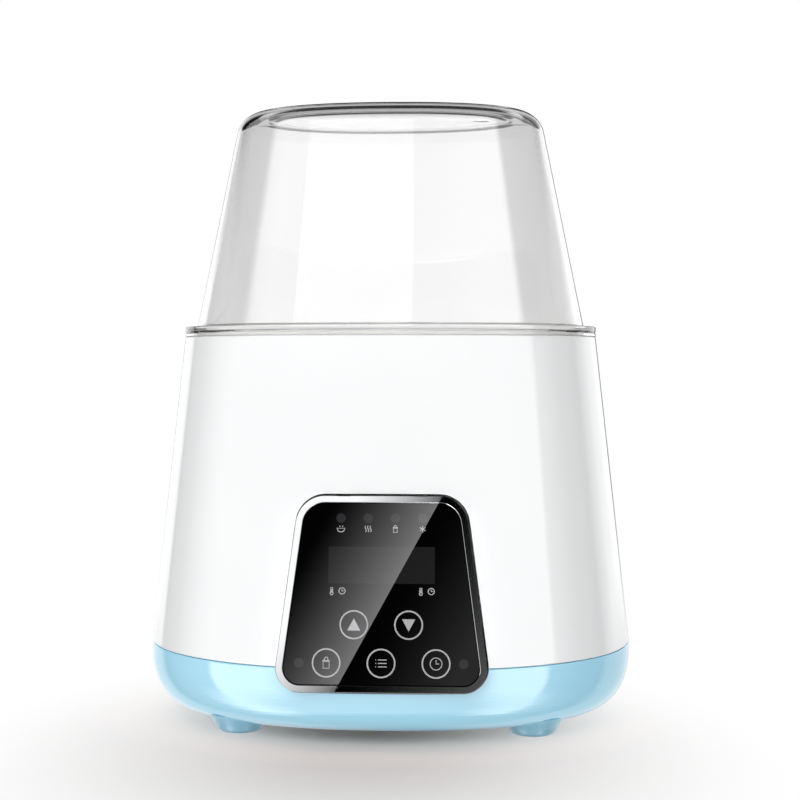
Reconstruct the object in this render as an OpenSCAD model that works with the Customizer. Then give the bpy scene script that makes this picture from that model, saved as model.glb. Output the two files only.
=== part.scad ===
// Two-bottle steam sterilizer and warmer: a flared housing on a bowl-shaped base, a lift-off clear
// cover, a heated water well with a lift-out bottle basket, and a flat touch panel on the front.
// Millimetres, +Z up, front towards -Y, origin on the floor under the middle of the body.

/* [Body plan] */
// Width of the body at the seam between base and housing
body_w = 185.6; // [160:0.2:210]
// Depth of the body at the seam between base and housing
body_d = 137.6; // [115:0.2:160]
// Squareness of the plan: 2 is an ellipse, larger is squarer
plan_power = 2.3; // [2:0.1:3]
// Flat steps around the plan of each moulded shell
plan_steps = 72; // [48:4:96]

/* [Base] */
// Height of the feet below the base
foot_h = 4; // [3:0.5:8]
// Height of the base from its underside to the seam
base_h = 24.4; // [22:0.2:36]
// How far the rounded underside draws in
base_round_w = 17; // [10:0.5:24]
// How high the rounded underside reaches
base_round_h = 22; // [14:0.5:22]
// Squareness of the rounded underside
base_round_power = 2.3; // [2:0.1:3]
// Wall of the base and of the housing
shell_wall = 2.4; // [2:0.1:3]
// Height of the lip that locates the housing
lip_h = 3; // [2:0.5:4]
// Thickness of that lip
lip_t = 1.1; // [0.9:0.1:1.3]
// Distance of the feet from the middle, sideways
foot_x = 53.8; // [46:0.2:58]
// Distance of the feet from the middle, front to back
foot_y = 37.5; // [30:0.5:40]
// Radius of a foot where it meets the floor
foot_r = 8.4; // [6:0.1:9]
// Radius that a foot flares to at the base
foot_flare_r = 12.6; // [9.5:0.1:13]

/* [Housing] */
// Height of the housing from the seam to its top
housing_h = 116.9; // [100:0.1:140]
// Width of the housing at its top
housing_top_w = 160.6; // [154:0.2:172]
// How far the front and the back of the housing draw in from the seam to its top
front_in = 12.5; // [8:0.1:14]
// Radius of the shoulder at the top edge
shoulder_r = 1.5; // [1.5:0.1:3]
// Width of the ledge that carries the water well
ledge_w = 2.2; // [1.8:0.1:3]
// Thickness of that ledge
ledge_t = 2.5; // [2:0.1:4]

/* [Cover] */
// Height of the clear cover
cover_h = 88; // [70:1:100]
// Width of the cover wall where it leaves the flange
cover_root_w = 151; // [148:0.2:153]
// Width of the cover where its wall would meet the top
cover_top_w = 117.6; // [115.4:0.2:135]
// Wall of the cover
cover_wall = 2.2; // [1.6:0.1:2.6]
// Radius of the edge round the top
cover_edge_r = 10; // [4:0.1:11.4]
// Thickness of the flange
flange_t = 3.8; // [3.6:0.1:6]
// Width of the shallow recess in the top
recess_w = 98.6; // [80:0.2:101]
// Depth of that recess
recess_t = 0.8; // [0.4:0.1:1.2]
// Diameter of the steam vent
vent_d = 6.5; // [4:0.1:10]
// Distance of the vent from the middle
vent_x = 35.5; // [20:0.5:38]

/* [Water well] */
// Depth of the well below its flange
well_h = 101.3; // [85:0.1:115]
// Wall and floor of the well
well_wall = 1.8; // [1.4:0.1:2.2]
// Draft of the well wall from mouth to floor
well_draft = 1.4; // [0:0.1:3]
// Height of the upstand that locates the cover
upstand_h = 1.8; // [1:0.1:2.4]
// Radius of the heating plate that shows in the floor
plate_r = 36.5; // [30:0.5:40]
// Thickness of the plate's clamped edge
plate_t = 2.5; // [2:0.1:4]
// Width of the plate's clamped edge
plate_edge = 5.5; // [4:0.5:6]
// Thickness of the seal under the floor
seal_t = 1.5; // [1:0.1:2]
// Radius of the tubular heating ring
element_r = 26; // [18:0.5:28]
// Radius of the tube of that ring
element_tube_r = 3.2; // [2.5:0.1:4]
// Distance of the tie screws from the middle, sideways
tie_x = 62; // [57:0.5:63]
// Distance of the tie screws from the middle, front to back
tie_y = 14; // [10:0.5:18]

/* [Bottle basket] */
// Bore of each bottle ring
bottle_d = 67; // [60:0.5:68]
// Thickness of the divider between the bottles
divider_t = 4.4; // [3.6:0.1:5]
// Width of the divider, front to back
divider_w = 54; // [46:1:64]
// Thickness of rings and posts
basket_wall = 2; // [1.6:0.1:2.4]
// Height of the ring tops above the basket floor
ring_top_h = 56; // [40:1:70]
// Height of a ring
ring_h = 6; // [4:0.5:10]
// Height of the handle above the basket floor
handle_h = 90; // [76:1:94]

/* [Front panel] */
// Height of the panel along its slope
panel_h = 68; // [60:0.5:74]
// Width of the panel at its top edge
panel_top_w = 58.2; // [50:0.2:62]
// Width of the panel at its bottom edge
panel_bottom_w = 75.8; // [68:0.2:80]
// Corner radius at the top
panel_top_r = 10.5; // [6:0.5:14]
// Corner radius at the bottom
panel_bottom_r = 8.5; // [6:0.5:14]
// Height of the panel's middle above the floor
panel_z = 55; // [52:0.5:62]
// How far the panel stands proud of the housing at its middle
panel_proud = 1.8; // [1.2:0.1:3]
// Width of the bright frame
bezel_w = 2.5; // [2:0.1:3.5]
// Depth of the frame into the body
bezel_t = 10.2; // [10:0.1:13]
// Thickness of the touch glass
glass_t = 1.8; // [1.2:0.1:2.4]
// Pitch of the keys and lamps, sideways
key_pitch = 9.5; // [8.5:0.1:10]
// Height of the lamp row above the middle of the panel
lamp_up = 26; // [24:0.1:26.5]
// Height of the display above the middle of the panel
display_up = 9.8; // [9:0.1:11]
// Height of the arrow keys above the middle of the panel
arrow_up = -10.7; // [-12:0.1:-9.5]
// Height of the bottom row of keys above the middle of the panel
key_up = -23.8; // [-24.5:0.1:-22]
// Radius of a touch electrode
pad_r = 4; // [3:0.1:4.2]
// Width of the display
display_w = 37; // [30:0.5:40]
// Height of the display
display_h = 12.7; // [10:0.1:16]

/* [Electronics and cord inlet] */
// Width of the power board
board_w = 80; // [70:1:90]
// Depth of the power board
board_d = 48; // [44:1:52]
// Thickness of both circuit boards
board_t = 1.6; // [1.2:0.1:2]
// Bore of the cord gland
gland_bore_d = 6.8; // [5:0.1:8]
// Height of the cord gland above the floor
gland_z = 18; // [17:0.5:20]

/* [Hidden] */
$fn = 64;

// Fits: a slip fit between moulded parts, the gap round a lip or a frame, and how far a cut overruns
slip = 0.3;
lip_gap = 0.2;
cut = 1;

// Levels
seam_z = foot_h + base_h;
rim_z = seam_z + housing_h;
top_z = rim_z + cover_h;
base_wide_z = foot_h + base_round_h;

// Plan: a ring is a superellipse of half width a, and its half depth is less by an amount that the
// base keeps, that what sits on the top of the housing keeps, and that the housing changes between
body_a = body_w / 2;
body_b = body_d / 2;
housing_top_a = housing_top_w / 2;
body_less = body_a - body_b;
top_less = housing_top_a - body_b + front_in;
side_draft = atan((body_a - housing_top_a) / housing_h);
front_draft = atan(front_in / housing_h);
function signed_power(v, p) = sign(v) * pow(abs(v), p);
function plan_ring(a, less, z) = [for (j = [0 : plan_steps - 1]) let (t = 360 * j / plan_steps)
    [a * signed_power(cos(t), 2 / plan_power),
     (a - less) * signed_power(sin(t), 2 / plan_power), z]];
function plan_rings(profile, less) = [for (p = profile) plan_ring(p[0], less, p[1])];
function housing_a(z) = body_a - (z - seam_z) * tan(side_draft);
function housing_less(z) = body_less + (top_less - body_less) * (z - seam_z) / housing_h;
function housing_rings(profile) = [for (p = profile) plan_ring(p[0], housing_less(p[1]), p[1])];

// Fillet between a wall that leans in by draft degrees and a level top at corner [a, z]
function fillet(a, z, draft, r, steps) = let (za = z - r, aa = a + r * tan(draft) - r / cos(draft))
    [for (i = [0 : steps]) let (t = draft + (90 - draft) * i / steps)
        [aa + r * cos(t), za + r * sin(t)]];
// Arc of a profile from one angle to another
function arc(a, z, r, from, to, steps) = [for (i = [0 : steps])
    let (t = from + (to - from) * i / steps) [a + r * cos(t), z + r * sin(t)]];
function reversed(list) = [for (i = [len(list) - 1 : -1 : 0]) list[i]];

// Solid through a stack of rings with as many points each: capped at both ends, or closed on itself
module loft(rings, closed = false) {
    n = len(rings[0]);
    m = len(rings);
    sides = [for (i = [0 : m - (closed ? 1 : 2)]) for (j = [0 : n - 1])
        let (k = (i + 1) % m, l = (j + 1) % n)
        each [[i * n + j, k * n + j, k * n + l], [i * n + j, k * n + l, i * n + l]]];
    caps = closed ? [] : [[for (j = [0 : n - 1]) j], [for (j = [n - 1 : -1 : 0]) (m - 1) * n + j]];
    polyhedron([for (r = rings) each r], concat(sides, caps), convexity = 10);
}
module ring_of(r_out, r_in, h) {
    difference() {
        cylinder(r = r_out, h = h);
        translate([0, 0, -cut]) cylinder(r = r_in, h = h + 2 * cut);
    }
}
module four(x, y) {
    for (sx = [-1, 1]) for (sy = [-1, 1]) translate([sx * x, sy * y, 0]) children();
}
// A box that is centred sideways and stands on its given level
module block(w, d, h) {
    translate([-w / 2, -d / 2, 0]) cube([w, d, h]);
}

// Base: a bowl with a locating lip, posts for the tie screws and standoffs for the power board
base_floor_z = foot_h + shell_wall;
round_steps = 7;
function base_curve(inset, rise) = [for (i = [round_steps : -1 : 0]) let (t = 90 * i / round_steps)
    [body_a - inset - (base_round_w - inset) * (1 - pow(cos(t), 2 / base_round_power)),
     base_wide_z - (base_round_h - rise) * pow(sin(t), 2 / base_round_power)]];
lip_out = shell_wall - lip_t;
module base_outer() {
    loft(plan_rings(concat(base_curve(0, 0), [[body_a, seam_z]]), body_less));
}
tie_post_r = 5;
tie_post_z = seam_z + lip_h;
tie_hole_r = 1.8;
tie_head_r = 3.4;
tie_head_up = 7;
tie_head_z = foot_h + tie_head_up;
gland_stand = 0.2;
gland_y = body_b + gland_stand;
gland_boss_r = 9;
gland_body_r = 5.5;
gland_l = 13.2;
gland_in_y = gland_y - gland_l;
gland_nut_t = 4;
standoff_r = 3.4;
standoff_h = 7.6;
standoff_in = 5;
pilot_r = 1.2;
board_z = base_floor_z + standoff_h;
board_y = 6;
standoff_x = board_w / 2 - standoff_in;
standoff_y = board_d / 2 - standoff_in;
module base_shell() {
    color("lightblue") difference() {
        union() {
            loft(plan_rings(concat(base_curve(0, 0),
                [[body_a, seam_z], [body_a - lip_out, seam_z], [body_a - lip_out, seam_z + lip_h],
                 [body_a - shell_wall, seam_z + lip_h]],
                reversed(base_curve(shell_wall, shell_wall))), body_less));
            four(tie_x, tie_y) translate([0, 0, base_floor_z - shell_wall / 2])
                cylinder(r = tie_post_r, h = tie_post_z - base_floor_z + shell_wall / 2);
            translate([0, board_y, base_floor_z - shell_wall / 2]) four(standoff_x, standoff_y)
                cylinder(r = standoff_r, h = standoff_h + shell_wall / 2);
            translate([0, gland_in_y + gland_nut_t, gland_z]) rotate([-90, 0, 0])
                cylinder(r = gland_boss_r, h = gland_l - gland_nut_t);
        }
        four(tie_x, tie_y) {
            translate([0, 0, foot_h - cut]) cylinder(r = tie_head_r, h = tie_head_z - foot_h + cut);
            cylinder(r = tie_hole_r, h = tie_post_z + cut);
        }
        translate([0, board_y, base_floor_z]) four(standoff_x, standoff_y)
            cylinder(r = pilot_r, h = standoff_h + cut);
        translate([0, gland_in_y, gland_z]) rotate([-90, 0, 0])
            cylinder(r = gland_body_r + slip / 2, h = gland_y);
        panel_opening();
    }
}

// Four feet that flare into the rounded underside
foot_rise = 3;
module feet() {
    color("lightblue") difference() {
        four(foot_x, foot_y) cylinder(r1 = foot_r, r2 = foot_flare_r, h = foot_h + foot_rise);
        base_outer();
    }
}

// Housing: a drafted tube with a rounded shoulder and a ledge under its top that carries the well
rim_land = 2.2;
well_flange_t = 2.2;
ledge_z = rim_z - well_flange_t;
ledge_a = housing_top_a - rim_land - ledge_w;
// The well's wall clears the ledge by a slip fit
well_mouth_a = ledge_a - slip - well_wall;
module housing_shell() {
    color("white") difference() {
        loft(housing_rings(concat(
            [[body_a - lip_out + lip_gap, seam_z], [body_a, seam_z]],
            fillet(housing_top_a, rim_z, side_draft, shoulder_r, 4),
            [[housing_top_a - rim_land, rim_z], [housing_top_a - rim_land, ledge_z],
             [ledge_a, ledge_z], [ledge_a, ledge_z - ledge_t],
             [housing_a(ledge_z - ledge_t) - shell_wall, ledge_z - ledge_t],
             [housing_a(seam_z + lip_h + lip_gap) - shell_wall, seam_z + lip_h + lip_gap],
             [body_a - lip_out + lip_gap, seam_z + lip_h + lip_gap]])), closed = true);
        panel_opening();
    }
}

// Cover: flange with a rounded edge, drafted wall, rounded top edge and a shallow recess with a vent
flange_z = rim_z + flange_t;
flange_r = flange_t / 2 - 0.1;
flange_a = housing_top_a;
cover_root_a = cover_root_w / 2;
cover_top_a = cover_top_w / 2;
cover_draft = atan((cover_root_a - cover_top_a) / (top_z - flange_z));
cover_skew = cover_wall / cos(cover_draft);
recess_a = recess_w / 2;
rebate_h = upstand_h + slip;
rebate_a = well_mouth_a + well_wall + slip;
module cover_dome() {
    color([0.85, 0.9, 0.95, 0.35]) difference() {
        loft(plan_rings(concat(
            [[recess_a - cover_wall - recess_t, top_z - cover_wall - recess_t],
             [recess_a - cover_wall, top_z - cover_wall]],
            reversed(fillet(cover_top_a - cover_skew + cover_wall * tan(cover_draft),
                top_z - cover_wall, cover_draft, cover_edge_r - cover_wall, 4)),
            [[cover_root_a - cover_skew, rim_z + rebate_h], [rebate_a, rim_z + rebate_h],
             [rebate_a, rim_z]],
            arc(flange_a - flange_r, rim_z + flange_r, flange_r, -90, 0, 4),
            arc(flange_a - flange_r, flange_z - flange_r, flange_r, 0, 90, 4),
            [[cover_root_a, flange_z]],
            fillet(cover_top_a, top_z, cover_draft, cover_edge_r, 6),
            [[recess_a, top_z], [recess_a - recess_t, top_z - recess_t]]), top_less));
        translate([vent_x, 0, top_z - recess_t - cover_wall - cut])
            cylinder(d = vent_d, h = cover_wall + 2 * cut);
    }
}

// Water well: hangs by its flange on the housing ledge; its floor is open for the heating plate
well_floor_z = rim_z - well_h;
well_under_z = well_floor_z - well_wall;
well_foot_a = well_mouth_a - well_draft;
clamp_screw_r = 50;
clamp_boss_r = 3.6;
clamp_t = 1.5;
clamp_z = well_under_z - seal_t - plate_t - clamp_t;
well_post_r = 4.5;
tie_bite = 8;
clamp_bite = 4;
// Blind end of a pilot hole past the tip of its screw
pilot_spare = 1;
module well_posts() {
    four(tie_x, tie_y) translate([0, 0, tie_post_z])
        cylinder(r = well_post_r, h = well_under_z + well_wall / 2 - tie_post_z);
    for (t = [45 : 90 : 315]) rotate(t) translate([clamp_screw_r, 0, clamp_z + clamp_t])
        cylinder(r = clamp_boss_r, h = well_under_z + well_wall / 2 - clamp_z - clamp_t);
}
module water_well() {
    color("whitesmoke") difference() {
        union() {
            loft(plan_rings([[well_foot_a + well_wall, well_under_z],
                [well_mouth_a + well_wall, ledge_z],
                [housing_top_a - rim_land - slip, ledge_z], [housing_top_a - rim_land - slip, rim_z],
                [well_mouth_a + well_wall, rim_z], [well_mouth_a + well_wall, rim_z + upstand_h],
                [well_mouth_a, rim_z + upstand_h], [well_foot_a, well_floor_z]], top_less));
            well_posts();
        }
        translate([0, 0, well_under_z - cut]) cylinder(r = plate_r + slip, h = well_wall + 2 * cut);
        four(tie_x, tie_y) translate([0, 0, tie_post_z - cut])
            cylinder(r = pilot_r, h = tie_bite + pilot_spare + cut);
        for (t = [45 : 90 : 315]) rotate(t) translate([clamp_screw_r, 0, clamp_z])
            cylinder(r = pilot_r, h = clamp_t + clamp_bite + pilot_spare / 2);
    }
}

// Heater stack under the well floor: seal, plate, tubular ring, clamp, sensor and fuse
plate_out_r = plate_r + plate_edge;
plate_under_z = well_under_z - seal_t - plate_t;
module plate_seal() {
    color("dimgray") translate([0, 0, well_under_z - seal_t])
        ring_of(plate_out_r, plate_r + slip, seal_t);
}
module heating_plate() {
    color("slategray") translate([0, 0, plate_under_z]) union() {
        cylinder(r = plate_out_r, h = plate_t);
        cylinder(r = plate_r, h = plate_t + seal_t + well_wall);
    }
}
element_end = 60;
element_z = plate_under_z - element_tube_r;
element_pin_h = 9;
element_pin_r = 1.6;
pin_angle = element_end - 6;
module heating_element() {
    color("silver") union() {
        translate([0, 0, element_z]) rotate(180 - element_end) rotate_extrude(angle = 180 + 2 * element_end)
            translate([element_r, 0]) circle(r = element_tube_r);
        for (s = [-1, 1]) rotate(90 + s * (90 - pin_angle))
            translate([element_r, 0, element_z - element_pin_h])
                cylinder(r = element_pin_r, h = element_pin_h);
    }
}
clamp_over = 2;
clamp_clear = 4;
clamp_lug = 1;
module heater_clamp() {
    color("silver") translate([0, 0, clamp_z]) difference() {
        union() {
            ring_of(plate_out_r + clamp_over, element_r + element_tube_r + clamp_clear, clamp_t);
            for (t = [45 : 90 : 315]) rotate(t) translate([clamp_screw_r, 0, 0]) {
                cylinder(r = clamp_boss_r + clamp_lug, h = clamp_t);
                translate([-clamp_screw_r + plate_out_r, -clamp_boss_r, 0])
                    cube([clamp_screw_r - plate_out_r, 2 * clamp_boss_r, clamp_t]);
            }
        }
        for (t = [45 : 90 : 315]) rotate(t) translate([clamp_screw_r, 0, -cut])
            cylinder(r = pilot_r + slip, h = clamp_t + 2 * cut);
    }
}
// A screw whose head bears on the level it is moved to; the shank points along +Z
slot_w = 0.8;
module screw(shank_r, shank_l, head_r, head_h) {
    slot_l = head_r * 1.2;
    difference() {
        union() {
            cylinder(r = shank_r, h = shank_l);
            translate([0, 0, -head_h]) cylinder(r = head_r, h = head_h);
        }
        for (t = [0, 90]) rotate(t) translate([-slot_l / 2, -slot_w / 2, -head_h - cut])
            cube([slot_l, slot_w, head_h / 2 + cut]);
    }
}
thread_gap = 0.05;
small_head_r = 2.5;
small_head_h = 1.8;
module clamp_screws() {
    color("silver") for (t = [45 : 90 : 315]) rotate(t) translate([clamp_screw_r, 0, clamp_z])
        screw(pilot_r - thread_gap, clamp_t + clamp_bite, small_head_r, small_head_h);
}
sensor_r = 5;
sensor_h = 6;
sensor_cap_t = 1.5;
sensor_body_r = 4;
module temperature_sensor() {
    color("silver") translate([0, 0, plate_under_z - sensor_h]) union() {
        cylinder(r = sensor_body_r, h = sensor_h);
        translate([0, 0, sensor_h - sensor_cap_t]) cylinder(r = sensor_r, h = sensor_cap_t);
    }
}
fuse_r = 2.2;
fuse_l = 14;
fuse_wire_r = 0.6;
fuse_wire_l = 4;
fuse_gap = 0.1;
// The fuse lies across the underside of the clamp ring at the right
module thermal_fuse() {
    color("ivory") translate([plate_out_r - clamp_clear, 0, clamp_z - fuse_r - fuse_gap])
        rotate([90, 0, 0]) translate([0, 0, -fuse_l / 2]) union() {
            cylinder(r = fuse_r, h = fuse_l);
            translate([0, 0, -fuse_wire_l]) cylinder(r = fuse_wire_r, h = fuse_l + 2 * fuse_wire_l);
        }
}
tie_head_h = 2.4;
tie_screw_l = tie_post_z - tie_head_z + tie_bite;
module tie_screws() {
    color("silver") four(tie_x, tie_y) translate([0, 0, tie_head_z])
        screw(pilot_r - thread_gap, tie_screw_l, tie_head_r - slip, tie_head_h);
}

// Power board in the base with its tall components, each placed from the middle of the board
comp_z = board_z + board_t;
header_w = 14;
header_d = 6;
header_h = 7;
header_in = 1;
terminal_w = 26;
terminal_d = 8;
terminal_h = 8;
terminal_y = 9;
module power_board() {
    color("darkgreen") translate([0, board_y, board_z]) difference() {
        union() {
            block(board_w, board_d, board_t);
            translate([0, (header_d - board_d) / 2 + header_in, board_t]) block(header_w, header_d, header_h);
        }
        four(standoff_x, standoff_y) translate([0, 0, -cut])
            cylinder(r = pilot_r + slip, h = board_t + 2 * cut);
    }
}
module on_board(x, y) {
    translate([x, board_y + y, comp_z]) children();
}
transformer_x = -26;
transformer_y = -2;
core_w = 19;
core_d = 16;
core_h = 14;
bobbin_w = 16;
bobbin_d = 20;
bobbin_h = 4;
module transformer() {
    color("gold") on_board(transformer_x, transformer_y) union() {
        block(bobbin_w, bobbin_d, bobbin_h);
        block(core_w, core_d, core_h);
    }
}
relay_x = 25;
relay_y = -4;
relay_w = 16;
relay_d = 19;
relay_h = 13;
module relay() {
    color("royalblue") on_board(relay_x, relay_y) block(relay_w, relay_d, relay_h);
}
capacitor_x = 9;
capacitor_y = -9;
capacitor_r = 5;
capacitor_h = 13;
module capacitor() {
    color("black") on_board(capacitor_x, capacitor_y) cylinder(r = capacitor_r, h = capacitor_h);
}
module terminal_block() {
    color("mediumseagreen") on_board(0, terminal_y) block(terminal_w, terminal_d, terminal_h);
}
board_bite = 5;
module board_screws() {
    color("silver") translate([0, board_y, comp_z]) four(standoff_x, standoff_y) mirror([0, 0, 1])
        screw(pilot_r - thread_gap, board_t + board_bite, small_head_r, small_head_h);
}

// Insulated leads from the pins of the heating ring to the terminal block
lead_r = 1.1;
lead_sides = 8;
pin_x = element_r * cos(pin_angle);
pin_y = element_r * sin(pin_angle);
pin_z = element_z - element_pin_h;
lead_gap = 0.2;
lead_in = 1.7;
lead_drop = 7;
lead_out = 12;
lead_steps = 12;
lead_from = [pin_x, pin_y, pin_z - lead_gap];
lead_to = [terminal_w / 2 - lead_in, board_y + terminal_y + terminal_d / 2 + lead_gap,
    comp_z + terminal_h / 2];
// Cubic curve that leaves the pin downwards and enters the back of the block level
function bow(a, b, c, d, steps) = [for (i = [0 : steps]) let (t = i / steps, u = 1 - t)
    u * u * u * a + 3 * u * u * t * b + 3 * u * t * t * c + t * t * t * d];
lead_route = bow(lead_from, lead_from - [0, 0, lead_drop], lead_to + [0, lead_out, 0], lead_to, lead_steps);
module tube_along(route, r, sides) {
    n = len(route);
    rings = [for (i = [0 : n - 1])
        let (d = route[min(i + 1, n - 1)] - route[max(i - 1, 0)], w = d / norm(d),
             u = cross(w, [1, 0, 0]) / norm(cross(w, [1, 0, 0])), v = cross(w, u))
        [for (j = [0 : sides - 1]) let (t = 360 * j / sides) route[i] + r * (cos(t) * u + sin(t) * v)]];
    loft(rings);
}
module heater_leads() {
    color("red") for (s = [0, 1]) mirror([s, 0, 0]) tube_along(lead_route, lead_r, lead_sides);
}

// Cord gland through the back of the base, and the nut that holds it
gland_flange_t = 2.4;
gland_flange_r = 7.6;
module cord_gland() {
    color("dimgray") translate([0, 0, gland_z]) rotate([-90, 0, 0]) difference() {
        union() {
            translate([0, 0, gland_in_y]) cylinder(r = gland_body_r, h = gland_l);
            translate([0, 0, gland_y]) cylinder(r = gland_flange_r, h = gland_flange_t);
        }
        translate([0, 0, gland_in_y - cut])
            cylinder(d = gland_bore_d, h = gland_l + gland_flange_t + 2 * cut);
    }
}
module gland_nut() {
    color("dimgray") translate([0, gland_in_y, gland_z]) rotate([-90, 0, 0]) difference() {
        cylinder(r = gland_boss_r, h = gland_nut_t, $fn = 6);
        translate([0, 0, -cut]) cylinder(r = gland_body_r + thread_gap, h = gland_nut_t + 2 * cut);
    }
}

// Front panel, drawn in its own slanted frame: x sideways, y into the body, z up along its face
panel_y = -(body_b - (panel_z - seam_z) * tan(front_draft) + panel_proud);
panel_lean = atan((panel_bottom_w - panel_top_w) / 2 / panel_h);
corner_steps = 8;
module at_panel() {
    translate([0, panel_y, panel_z]) rotate([-front_draft, 0, 0]) children();
}
function panel_side(z) = panel_bottom_w / 2 - (z + panel_h / 2) * tan(panel_lean);
function panel_corner(z, r, inset, from, to, side) = [for (i = [0 : corner_steps])
    let (t = from + (to - from) * i / corner_steps)
    [side * (panel_side(z) - r / cos(panel_lean) + (r - inset) * cos(t)), z + (r - inset) * sin(t)]];
function panel_outline(inset) = let (low = panel_bottom_r - panel_h / 2, high = panel_h / 2 - panel_top_r)
    concat(panel_corner(low, panel_bottom_r, inset, -90, panel_lean, 1),
        panel_corner(high, panel_top_r, inset, panel_lean, 90, 1),
        panel_corner(high, panel_top_r, inset, 90, panel_lean, -1),
        panel_corner(low, panel_bottom_r, inset, panel_lean, -90, -1));
module panel_slab(inset, from, to) {
    translate([0, to, 0]) rotate([90, 0, 0]) linear_extrude(to - from) polygon(panel_outline(inset));
}
opening_before = 6;
opening_behind = 4;
module panel_opening() {
    at_panel() panel_slab(-lip_gap, -opening_before, bezel_t + opening_behind);
}

// Depths of the stack that is laid into the frame from the front
glass_in = 0.3;
shroud_in = glass_in + glass_t;
shroud_t = 5;
control_in = shroud_in + shroud_t;
shelf_in = control_in + board_t;
shelf_w = 2.2;
bezel_round = 0.6;
clip_w = 5.1;
clip_x = 13.4;
clip_depth = 0.5;
module panel_bezel() {
    profile = concat([[bezel_w + shelf_w, bezel_t], [0, bezel_t]],
        [for (i = [0 : 3]) let (t = 90 * i / 3)
            [bezel_round * (1 - cos(t)), bezel_round * (1 - sin(t))]],
        [[bezel_w - glass_in, 0], [bezel_w, glass_in], [bezel_w, shelf_in],
         [bezel_w + shelf_w, shelf_in]]);
    color("silver") at_panel() difference() {
        loft([for (p = profile) [for (q = panel_outline(p[0])) [q[0], p[1], q[1]]]], closed = true);
        for (s = [-1, 1])
            translate([s * clip_x - clip_w / 2, bezel_round, panel_h / 2 - clip_depth])
                cube([clip_w, bezel_t, clip_depth + cut]);
    }
}
stack_gap = 0.1;
stack_inset = bezel_w + stack_gap;
module panel_glass() {
    color("black") at_panel() panel_slab(stack_inset, glass_in, shroud_in);
}

// Places on the panel, sideways and up from its middle
lamp_r = 1.65;
function at_pitch(columns, up) = [for (c = columns) [c * key_pitch, up]];
key_places = concat(at_pitch([-1, 1], arrow_up), at_pitch([-2, 0, 2], key_up));
lamp_places = concat(at_pitch([-1.5, -0.5, 0.5, 1.5], lamp_up), at_pitch([-3, 3], key_up));
high_screw_x = 20;
high_screw_up = 16.2;
low_screw_x = 27.5;
low_screw_up = -14.3;
screw_places = [for (s = [-1, 1]) each [[s * high_screw_x, high_screw_up], [s * low_screw_x, low_screw_up]]];
module panel_rods(places, r, from, to) {
    for (p = places) translate([p[0], from, p[1]]) rotate([-90, 0, 0])
        cylinder(r = r, h = to - from);
}
module display_block(grow, from, to) {
    translate([-display_w / 2 - grow, from, display_up - display_h / 2 - grow])
        cube([display_w + 2 * grow, to - from, display_h + 2 * grow]);
}
module light_shroud() {
    color("white") at_panel() difference() {
        panel_slab(stack_inset, shroud_in, control_in);
        panel_rods(key_places, pad_r + slip, shroud_in - cut, control_in + cut);
        panel_rods(lamp_places, lamp_r + slip, shroud_in - cut, control_in + cut);
        display_block(slip, shroud_in - cut, control_in + cut);
        panel_rods(screw_places, pilot_r, control_in - panel_bite - pilot_spare / 2, control_in + cut);
    }
}
module display_module() {
    color("darkslategray") at_panel() display_block(0, shroud_in, control_in);
}
lamp_gap = 0.5;
module indicator_leds() {
    color("lightyellow") at_panel() panel_rods(lamp_places, lamp_r, shroud_in + lamp_gap, control_in);
}
module touch_pads() {
    color("gray") at_panel() panel_rods(key_places, pad_r, shroud_in, control_in);
}
link_w = 14;
link_h = 6;
link_t = 4;
link_up = -13.3;
module control_board() {
    color("darkgreen") at_panel() difference() {
        union() {
            panel_slab(stack_inset, control_in, shelf_in);
            translate([-link_w / 2, shelf_in, link_up - link_h / 2]) cube([link_w, link_t, link_h]);
        }
        panel_rods(screw_places, pilot_r + slip, control_in - cut, shelf_in + cut);
    }
}
buzzer_x = 11.4;
buzzer_up = 3.8;
buzzer_r = 4.5;
buzzer_t = 4;
module buzzer() {
    color("black") at_panel() panel_rods([[buzzer_x, buzzer_up]], buzzer_r, shelf_in, shelf_in + buzzer_t);
}
panel_bite = 3.5;
module panel_screws() {
    color("silver") at_panel() for (p = screw_places)
        translate([p[0], shelf_in, p[1]]) rotate([90, 0, 0])
            screw(pilot_r - thread_gap, board_t + panel_bite, small_head_r, small_head_h);
}

// Flat cable that hangs from the socket behind the control board and sweeps in to the header on the
// power board, as a quarter of an ellipse
cable_w = 12;
cable_t = 1;
cable_steps = 12;
cable_gap = 0.1;
cable_in = shelf_in + link_t / 2;
cable_up = link_up - link_h / 2;
cable_from = [panel_y + cable_in * cos(front_draft) + cable_up * sin(front_draft),
    panel_z - cable_in * sin(front_draft) + cable_up * cos(front_draft) - cable_gap];
cable_to = [board_y - board_d / 2 + header_in - cable_gap, comp_z + header_h / 2];
cable_run = cable_to - cable_from;
function cable_edge(side) = [for (i = [0 : cable_steps])
    let (t = 90 * i / cable_steps, along = [cable_run[0] * sin(t), cable_run[1] * cos(t)])
    cable_from + [cable_run[0] * (1 - cos(t)), cable_run[1] * sin(t)]
        + side * cable_t / 2 * [-along[1], along[0]] / norm(along)];
module panel_cable() {
    color("lightgray") translate([cable_w / 2, 0, 0]) rotate([90, 0, -90]) mirror([1, 0, 0])
        linear_extrude(cable_w) polygon(concat(cable_edge(-1), reversed(cable_edge(1))));
}

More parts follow.
